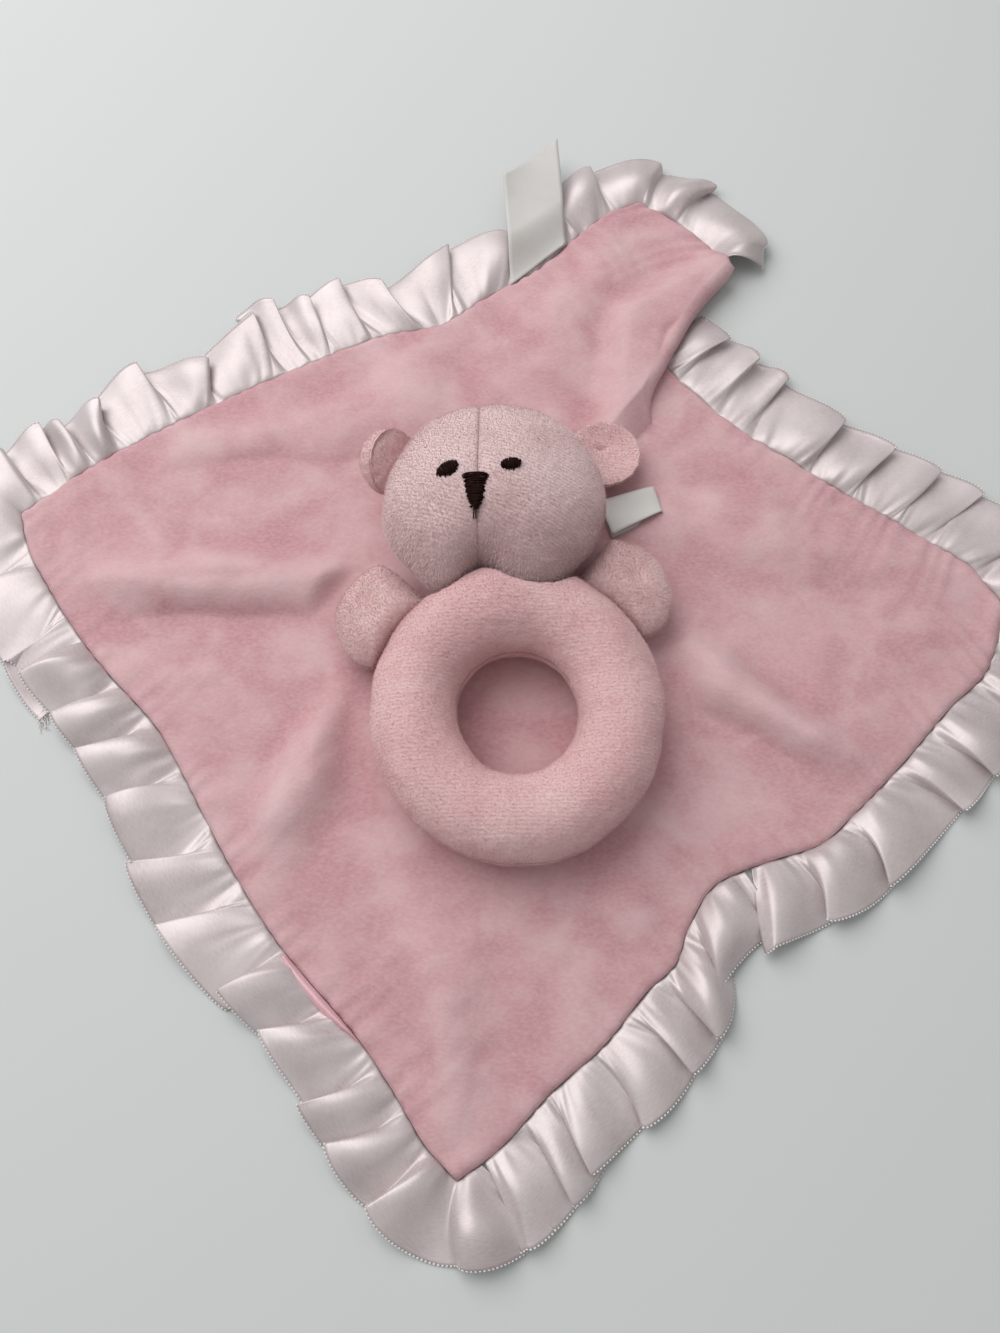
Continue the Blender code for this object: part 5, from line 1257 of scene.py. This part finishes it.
def grooveAt(distance):
    # how deep the seam draws the skin in at a distance from it
    return pile["grooveDepth"] * bell(distance, pile["grooveWidth"]) + pile["pullDepth"] * bell(
        distance, pile["pullWidth"])


def headSeams(unit):
    # distance to the nearest seam of the head
    face = np.abs(unit[:, 0] - head["faceSeam"]) * head["half"][0]
    face = np.where(unit[:, 2] < head["backSeam"] - 0.03, 1.0, face)
    back = np.abs(unit[:, 2] - head["backSeam"]) * head["half"][2]
    return face, back


def headInset(unit):
    face, back = headSeams(unit)
    place = headPoint(unit)
    flat = smoothStep(-head["backFlat"] - 0.02, -head["backFlat"] + 0.12, unit[:, 2])
    rows = np.sin(place[:, 1] / 0.0019 * 2 * np.pi + 2.0 * np.sin(place[:, 0] / 0.009)) * 0.00010
    chin = bell(unit[:, 1] + 0.8, 0.35)
    seams = (grooveAt(face) + grooveAt(back)) * (0.3 + 0.7 * flat)
    return seams + pile["room"] - (lumpsAt(place, 11) + rows * chin) * flat


def headPaintedShade(unit):
    # painted shade along the seams and on the underside of the chin, where shade falls
    seams = 0.45 * np.maximum(*[bell(distance, pile["seamShadeWidth"]) for distance in headSeams(unit)])
    return np.maximum(seams, 0.55 * smoothStep(-0.34, -0.86, unit[:, 1]))


def growPile(name, body, points, faces, grows, comb, material, seed, longer=1.0, dense=1.0):
    # pile over a whole shape, as one plain mesh
    source = meshFrom(name, points + shiftRow, faces)
    setMark(source, "grows", grows)
    setMark(source, "longer", np.broadcast_to(longer, len(points)))
    grown = runTree(source, pileTree, {
        "Tufts Per Area": pile["tuftsPerArea"] * dense, "Length": pile["length"], "Width": pile["width"],
        "Comb": comb, "Jitter": pile["jitter"], "Seed": seed, "Material": material})
    grown.data.shade_flat()
    return finishPiece(grown, body, None, material)


def makeHead():
    gapX = head["seamGap"] / 2 / head["half"][0]
    gapZ = layout["panelGap"] / 2 / head["half"][2]
    front = ((0, 0, head["backSeam"] + gapZ), (0, 0, -1))
    panels = {
        "headLeftPanel": ("head_left_panel", [front, ((head["faceSeam"] - gapX, 0, 0), (1, 0, 0))]),
        "headRightPanel": ("head_right_panel", [front, ((head["faceSeam"] + gapX, 0, 0), (-1, 0, 0))]),
        "headBackPanel": ("head_back_panel", [((0, 0, head["backSeam"] - gapZ), (0, 0, 1))]),
    }
    for title, (node, cuts) in panels.items():
        made = velourPanel(title, ballNet(176, 96, cuts), headPoint, headInset, layout["skin"], headPaintedShade,
                           "head", node, headVelour)
    units, faces, _ = netArrays(ballNet(128, 72, []))
    seam, _ = headSeams(units)
    grows = smoothStep(-0.96, -0.80, units[:, 2]) * (0.90 + 0.10 * smoothStep(0.0, 0.0010, seam))
    chin = 0.9 + 0.7 * smoothStep(0.1, -0.6, units[:, 1])
    growPile("headPile", "head", headPoint(units, headInset(units)), faces, grows, (0.1, -0.45, 0.1),
             headVelour, 5, chin, 0.9)
    # fibre wads: the room between the skin and the capsule
    inset = layout["skin"] + layout["panelGap"]
    hollow = head["capsuleRadius"] + 0.0005
    for title, node, way in (("headFillFront", "head_fill_front", 1), ("headFillBack", "head_fill_back", -1)):
        made, _ = skinPiece(
            title, halfBall(72, 40, way, gapZ),
            lambda unit: headPoint(unit, inset + np.maximum(headInset(unit), 0) + 0.0008),
            lambda unit: np.array(headCentre) + unit * (hollow + 0.0003 * noiseAt(unit, 0.25, 4)[:, None]))
        finishPiece(made, "head", [node], fibreFill)


makeHead()
print("head made")


def ringSeam(unit):
    # distance to the nearer of the ring's two seams
    around = unit[:, 1] / 2
    return np.minimum(np.abs(np.sin(around)), np.abs(np.cos(around))) * ring["tube"] * 2


def ringInset(unit):
    upper = smoothStep(-0.8, -0.2, np.sin(unit[:, 1]))
    return grooveAt(ringSeam(unit)) * 0.6 + pile["room"] - lumpsAt(ringPoint(unit), 21) * upper


def makeRing():
    gap = layout["panelGap"] / 2 / ring["tube"]
    for title, node, start in (
            ("ringFrontCover", "ring_front_cover", 0.0), ("ringBackCover", "ring_back_cover", math.pi)):
        arounds = start + gap + (math.pi - 2 * gap) * np.linspace(0, 1, 37)
        # each cover gets painted shade along its seams
        made = velourPanel(
            title, gridNet(192, arounds), ringPoint, ringInset, layout["skin"],
            lambda unit: bell(ringSeam(unit), pile["seamShadeWidth"]), "ring", node, ringVelour)
    units, faces, _ = netArrays(gridNet(160, np.linspace(0, 2 * math.pi, 49)))
    grows = smoothStep(-0.85, -0.45, np.sin(units[:, 1]))
    growPile("ringPile", "ring", ringPoint(units, ringInset(units)), faces, grows,
             (0.25, -0.10, 0.1), ringVelour, 6, 0.62, 0.74)
    units, faces, _ = netArrays(gridNet(96, np.linspace(0, 2 * math.pi, 33)[:-1], True))
    inset = layout["skin"] + layout["panelGap"] + 0.0006 + np.maximum(ringInset(units), 0)
    made = meshFrom("ringFill", ringPoint(units, inset) + shiftRow, faces)
    finishPiece(made, "ring", ["ring_fill"], fibreFill)


makeRing()
print("ring made")


def rimSeam(unit, half):
    # distance to the seam round the rim of an arm or ear
    return np.abs(unit[:, 2]) * half


def armInset(name, unit):
    place = armPoint(name, unit)
    x, y = arm["dimple"][name]
    across = np.hypot(unit[:, 0] - x, unit[:, 1] - y)
    dimple = arm["dimpleDepth"] * bell(across, arm["dimpleWidth"]) * (unit[:, 2] > 0)
    rows = np.sin(place[:, 1] / 0.0022 * 2 * np.pi + 1.5 * np.sin(place[:, 0] / 0.006)) * 0.00004
    groove = grooveAt(rimSeam(unit, arm["half"][2]))
    return groove * 0.8 + dimple + pile["room"] - lumpsAt(place, 31) - rows


def makeArms():
    gap = layout["panelGap"] / 2 / arm["half"][2]
    for name in ("left", "right"):
        title, body = "arm" + name.capitalize(), "arm_" + name
        for label, way in (("front", 1), ("back", -1)):
            # painted shade along the rim seam of each arm panel
            made = velourPanel(
                title + label.capitalize(), halfBall(96, 64, way, gap),
                lambda unit, inset: armPoint(name, unit, inset), lambda unit: armInset(name, unit), layout["skin"],
                lambda unit: bell(rimSeam(unit, arm["half"][2]), pile["seamShadeWidth"]),
                body, f"{body}_{label}", armVelour)
        units, faces, _ = netArrays(ballNet(72, 48, []))
        growPile(title + "Pile", body, armPoint(name, units, armInset(name, units)), faces,
                 smoothStep(-0.95, -0.6, units[:, 2]), (0.1, -0.3, 0.1), armVelour, 7, 0.95)
        units, faces, _ = netArrays(ballNet(48, 32, []))
        inset = layout["skin"] + 0.0012 + np.maximum(armInset(name, units), 0)
        fill = meshFrom(title + "Fill", armPoint(name, units, inset) + shiftRow, faces)
        finishPiece(fill, body, [f"{body}_fill"], fibreFill)


makeArms()
print("arms made")


def earInset(name, unit):
    distance = rimSeam(unit, ear["half"][1]) * 1.4
    turn = np.arctan2(unit[:, 1], unit[:, 0])
    pucker = np.abs(np.sin(turn * 9 + 0.4)) * bell(1 - np.hypot(unit[:, 0], unit[:, 1]), 0.25) * 0.0004
    # a fold pinched into the middle of the right ear
    across = np.hypot((unit[:, 0] + 0.08) * 0.5, unit[:, 1] - 0.24)
    pinch = 0.0014 * bell(across, 0.07) * (unit[:, 2] > 0) * (name == "right")
    return (grooveAt(distance) * 0.5 + pucker + pinch - lumpsAt(earPoint(name, unit), 41) * 0.7) * 0.8


def bendAtRoot(made, name):
    # the ear's placement is made part of its mesh; its pivot and rim points are worked out but not used
    pivot = np.array(earPivot(name)) + shiftRow
    rim = earPoint(name, netArrays(ballNet(12, 8, []))[0]) + shiftRow
    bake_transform(made)


def makeEars():
    gap = layout["panelGap"] / 2 / ear["half"][1]
    for name in ("left", "right"):
        title = "ear" + name.capitalize()
        for label, way in (("front", 1), ("back", -1)):
            # painted shade along the rim seam of each ear panel
            made = velourPanel(
                title + label.capitalize(), halfBall(96, 56, way, gap),
                lambda unit, inset: earPoint(name, unit, inset), lambda unit: earInset(name, unit), ear["skin"],
                lambda unit: bell(rimSeam(unit, ear["half"][1]) * 1.4, pile["seamShadeWidth"] * 0.8),
                None, f"ear_{name}_{label}", earVelour)
            bendAtRoot(made, name)
        units, faces, _ = netArrays(ballNet(72, 40, []))
        grown = growPile(title + "Pile", None, earPoint(name, units, earInset(name, units)), faces,
                         np.ones(len(units)), (0.0, -0.3, 0.1), earVelour, 9, 0.75)
        bendAtRoot(grown, name)


makeEars()
print("ears made")

# face: eyes and nose in thread

face = {
    "eyes": {"left": (-0.40, -0.02), "right": (0.14, 0.00)},
    "eyeHalf": {"left": (0.0035, 0.0026), "right": (0.0032, 0.0021)},
    "eyeTurn": {"left": 28.0, "right": 12.0}, "nose": (-0.160, -0.20),
    "noseRows": [
        (0.0036, 0.0034), (0.0038, 0.0028), (0.0037, 0.0018), (0.0033, 0.0006), (0.0030, -0.0006),
        (0.0027, -0.0030), (0.0023, -0.0050), (0.0016, -0.0068), (0.0007, -0.0084)],
    "threadRadius": 0.00022, "threadStep": 0.00034, "lift": 0.0009, "dip": -0.0004, "tailLength": 0.0036,
}


def faceSurface(centre, x, y, lift):
    # points over the face at level offsets in metres from a place given in shares of the head's half sizes
    wide, tall, deep = head["half"]
    sx, sy = centre[0] + np.asarray(x) / wide, centre[1] + np.asarray(y) / tall
    unit = np.stack([sx, sy, np.sqrt(np.maximum(1 - sx ** 2 - sy ** 2, 0))], -1)
    outward = unit / (wide, tall, deep)
    outward /= np.linalg.norm(outward, axis=1)[:, None]
    return headPoint(unit) + outward * np.asarray(lift)[..., None]


def stitchLine(centre, start, end, lift):
    # one stitch over the face: it comes out of the cloth, arches and goes in again
    share = np.linspace(0, 1, 9)
    x = start[0] + (end[0] - start[0]) * share
    y = start[1] + (end[1] - start[1]) * share
    arch = 1 - np.abs(2 * share - 1) ** 4
    return faceSurface(centre, x, y, face["dip"] + (lift - face["dip"]) * arch) + shiftRow


def sewFeature(title, node, lines):
    made = runTree(linesObject(title, lines), strandTree, {
        "Radius": face["threadRadius"], "Sides": 6, "Material": darkThread})
    finishPiece(made, "head", [node], darkThread)


def makeFace():
    # each feature is sewn in two layers, a narrow one below
    draw = np.random.default_rng(8)
    for name, centre in face["eyes"].items():
        wide, tall = face["eyeHalf"][name]
        turn = math.radians(face["eyeTurn"][name])
        spin = np.array([[math.cos(turn), -math.sin(turn)], [math.sin(turn), math.cos(turn)]])
        lines = []
        for shrink, raised in ((0.86, 0.6), (1.0, 1.25)):
            for x in np.arange(-wide, wide + 1e-6, face["threadStep"]):
                y = tall * math.sqrt(max(1 - (x / wide) ** 2, 0.0)) * shrink + 0.0002
                wob = draw.normal(0, 0.00022, 3)
                low = np.array((x + wob[0], -y * 0.9 + wob[1]))
                high = np.array((x + wob[2], y))
                lift = face["lift"] * raised * (0.6 + 0.4 * y / tall)
                lines.append(stitchLine(centre, spin @ low, spin @ high, lift))
        sewFeature("eye" + name.capitalize() + "Stitches", f"eye_{name}", lines)
    rows = np.array(face["noseRows"])
    lines = []
    for shrink, raised in ((0.85, 0.7), (1.0, 1.5)):
        for y in np.arange(rows[-1, 1], rows[0, 1], face["threadStep"] * 0.9):
            reach = np.interp(y, rows[::-1, 1], rows[::-1, 0]) * shrink
            wob = draw.normal(0, 0.00025, 4)
            start, end = (-reach + wob[0], y + wob[1]), (reach + wob[2], y + wob[3])
            lines.append(stitchLine(face["nose"], start, end, face["lift"] * raised))
    foot = rows[-1, 1]
    for shift in (-0.0002, 0.0002):
        end = (shift * 2 - 0.0002, foot - face["tailLength"])
        lines.append(stitchLine(face["nose"], (shift, foot + 0.001), end, 0.0006))
    sewFeature("noseStitches", "nose", lines)


# labels and the hidden tack

label = {
    "thickness": 0.0005, "careWidth": 0.024, "careLength": 0.047, "carePlace": 0.805, "careTurn": -37.0,
    "careCurl": 0.0035, "careHeight": 0.0095, "headWidth": 0.015, "headLength": 0.0225, "headLoop": 0.003,
    "headPlace": (0.93, 0.05), "headTurn": 17.0, "headSlant": 0.30,
    # round the folded tape from seam to seam: reach and height in shares
    "headTurns": [(0.05, 0.0), (0.5, 0.0), (0.92, 0.1), (1.0, 0.5), (0.92, 0.9), (0.5, 1.0), (0.05, 1.0)],
}


def stripPiece(name, rows, uv):
    # closed strip round a grid of points, as thick as the label tape
    grid = np.array(rows)
    return thickSheet(name, grid, gridQuads(*grid.shape[:2])[1], np.array(uv), label["thickness"], labelTape)


def makeLabels():
    point, along, out = seamFrame(label["carePlace"])
    turn = math.radians(label["careTurn"])
    way = np.array((out[0] * math.cos(turn) - out[1] * math.sin(turn),
                    out[0] * math.sin(turn) + out[1] * math.cos(turn), 0))
    foot = along * label["careWidth"] / 2 / math.cos(turn)
    low = blanketTop + label["thickness"]
    high = label["careHeight"]
    rows, uv = [], []
    for share in np.linspace(0, 1, 41):
        row, places = [], []
        for shift in np.linspace(-1, 1, 17):
            place = point + foot * shift + out * layout["ribbonClearance"] + way * share * label["careLength"]
            place[2] = low + (high - low) * smoothStep(0, 0.4, share) + label["careCurl"] * (
                share ** 2 * (0.4 + 0.6 * shift ** 2)) + 0.0006 * math.sin(share * 9 + shift * 2)
            row.append(place)
            places.append((shift * label["careWidth"] / 2, share * label["careLength"]))
        rows.append(row)
        uv.append(places)
    care = stripPiece("careLabel", rows, uv)
    finishPiece(care, "care_label_tab", ["care_label"], labelTape)
    x, y = label["headPlace"]
    unit = np.array((x, y, 0.0)) / math.hypot(x, y)
    base = headPoint(unit)[0]
    turn = math.radians(label["headTurn"])
    way = np.array((math.cos(turn), math.sin(turn), 0.0))
    cross = np.array((way[1], -way[0], 0.0))
    low = bearFloor + label["thickness"]
    rows, uv = [], []
    turns = label["headTurns"]
    knots = np.arange(len(turns))
    for place in np.linspace(0, len(turns) - 1, 43):
        reach, height = curveThrough(turns, knots, place)
        row, places = [], []
        for shift in np.linspace(0.5, -0.5, 11):
            spot = base + way * (reach * label["headLength"] + layout["ribbonClearance"])
            slant = 1 - label["headSlant"] * max(reach, 0.0) * (shift + 0.5)
            spot = spot + cross * label["headWidth"] * (shift * slant - 0.5 * (1 - slant))
            spot[2] = low + height * label["headLoop"] + 0.0004 * math.sin(shift * 5 + place)
            row.append(spot)
            places.append((shift * label["headWidth"], place * 0.0065))
        rows.append(row)
        uv.append(places)
    small = stripPiece("headLabel", rows, uv)
    finishPiece(small, "head_label_tab", ["head_label"], labelTape)


makeFace()
makeLabels()
print("face and labels made")


def dressNodes(names, material):
    for name in names:
        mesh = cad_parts[name].data
        mesh.materials.clear()
        mesh.materials.append(material)


dressNodes(["rattle_capsule_front", "rattle_capsule_back"], capsulePlastic)
dressNodes([f"rattle_bead_{index}" for index in range(1, 6)], beadPlastic)
dressNodes(["neck_tack_thread"], pinkThread)

# floor, light and camera

studio = {
    "floor": "#CDD0CF", "floorSize": 3.0, "keyPower": 12.5, "keySize": 1.2, "worldStrength": 0.55,
    "sideStrength": 0.12, "backdropStrength": 0.62,
    "lens": 29.7, "target": (-0.0019, -0.0219, 0.0), "distance": 0.393, "elevation": 70.0,
}


def makeStudio():
    size = studio["floorSize"]
    corners = [(-size, -size, 0), (size, -size, 0), (size, size, 0), (-size, size, 0)]
    floor = meshFrom("floor", corners, [(0, 1, 2, 3)])
    made, tree, shader = newMaterial("paintedBoardPale", {"Roughness": 0.9, "Specular IOR Level": 0.1})
    cloud = noiseNode(tree, objectPlace(tree), 0.4, 2.0, 0.5)
    tone = mixColour(tree, cloud, colour(studio["floor"]), colour("#D2D5D4"))
    tree.links.new(tone, shader.inputs["Base Color"])
    floor.data.materials.append(made)
    floor.location.z = -0.0002
    world = bpy.data.worlds.new("studio")
    bpy.context.scene.world = world
    world.use_nodes = True
    tree = world.node_tree
    # a room that is bright overhead and dimmer round the sides, so that satin shows its folds
    ray = addNode(tree, "ShaderNodeLightPath")
    up = addNode(tree, "ShaderNodeSeparateXYZ", None, {
        "Vector": addNode(tree, "ShaderNodeTexCoord").outputs["Generated"]}).outputs["Z"]
    room = addNode(tree, "ShaderNodeMapRange", None, {
        "Value": up, "From Min": 0.0, "From Max": 0.9, "To Min": studio["sideStrength"],
        "To Max": studio["worldStrength"]}).outputs[0]
    seen = addNode(tree, "ShaderNodeMix", {"data_type": "FLOAT"}, {
        0: ray.outputs["Is Camera Ray"], 2: room, 3: studio["backdropStrength"]}).outputs[0]
    tree.links.new(seen, tree.nodes["Background"].inputs["Strength"])
    tree.nodes["Background"].inputs["Color"].default_value = (1, 1, 1, 1)
    lamp = bpy.data.lights.new("key", "AREA")
    lamp.shape, lamp.size, lamp.energy = "SQUARE", studio["keySize"], studio["keyPower"]
    key = bpy.data.objects.new("key", lamp)
    bpy.context.scene.collection.objects.link(key)
    key.location = (-0.55, 0.50, 0.95)
    key.rotation_euler = (Vector((0, 0, 0)) - key.location).to_track_quat("-Z", "Y").to_euler()
    view = bpy.data.cameras.new("camera")
    view.lens, view.sensor_width, view.clip_start = studio["lens"], 36, 0.01
    camera = bpy.data.objects.new("camera", view)
    bpy.context.scene.collection.objects.link(camera)
    lift = math.radians(studio["elevation"])
    target = Vector(studio["target"])
    camera.location = target + Vector((0, -math.cos(lift), math.sin(lift))) * studio["distance"]
    camera.rotation_euler = (math.pi / 2 - lift, 0, 0)
    bpy.context.scene.camera = camera
    bpy.context.scene.view_settings.view_transform = "Standard"


makeStudio()
print("scene made")
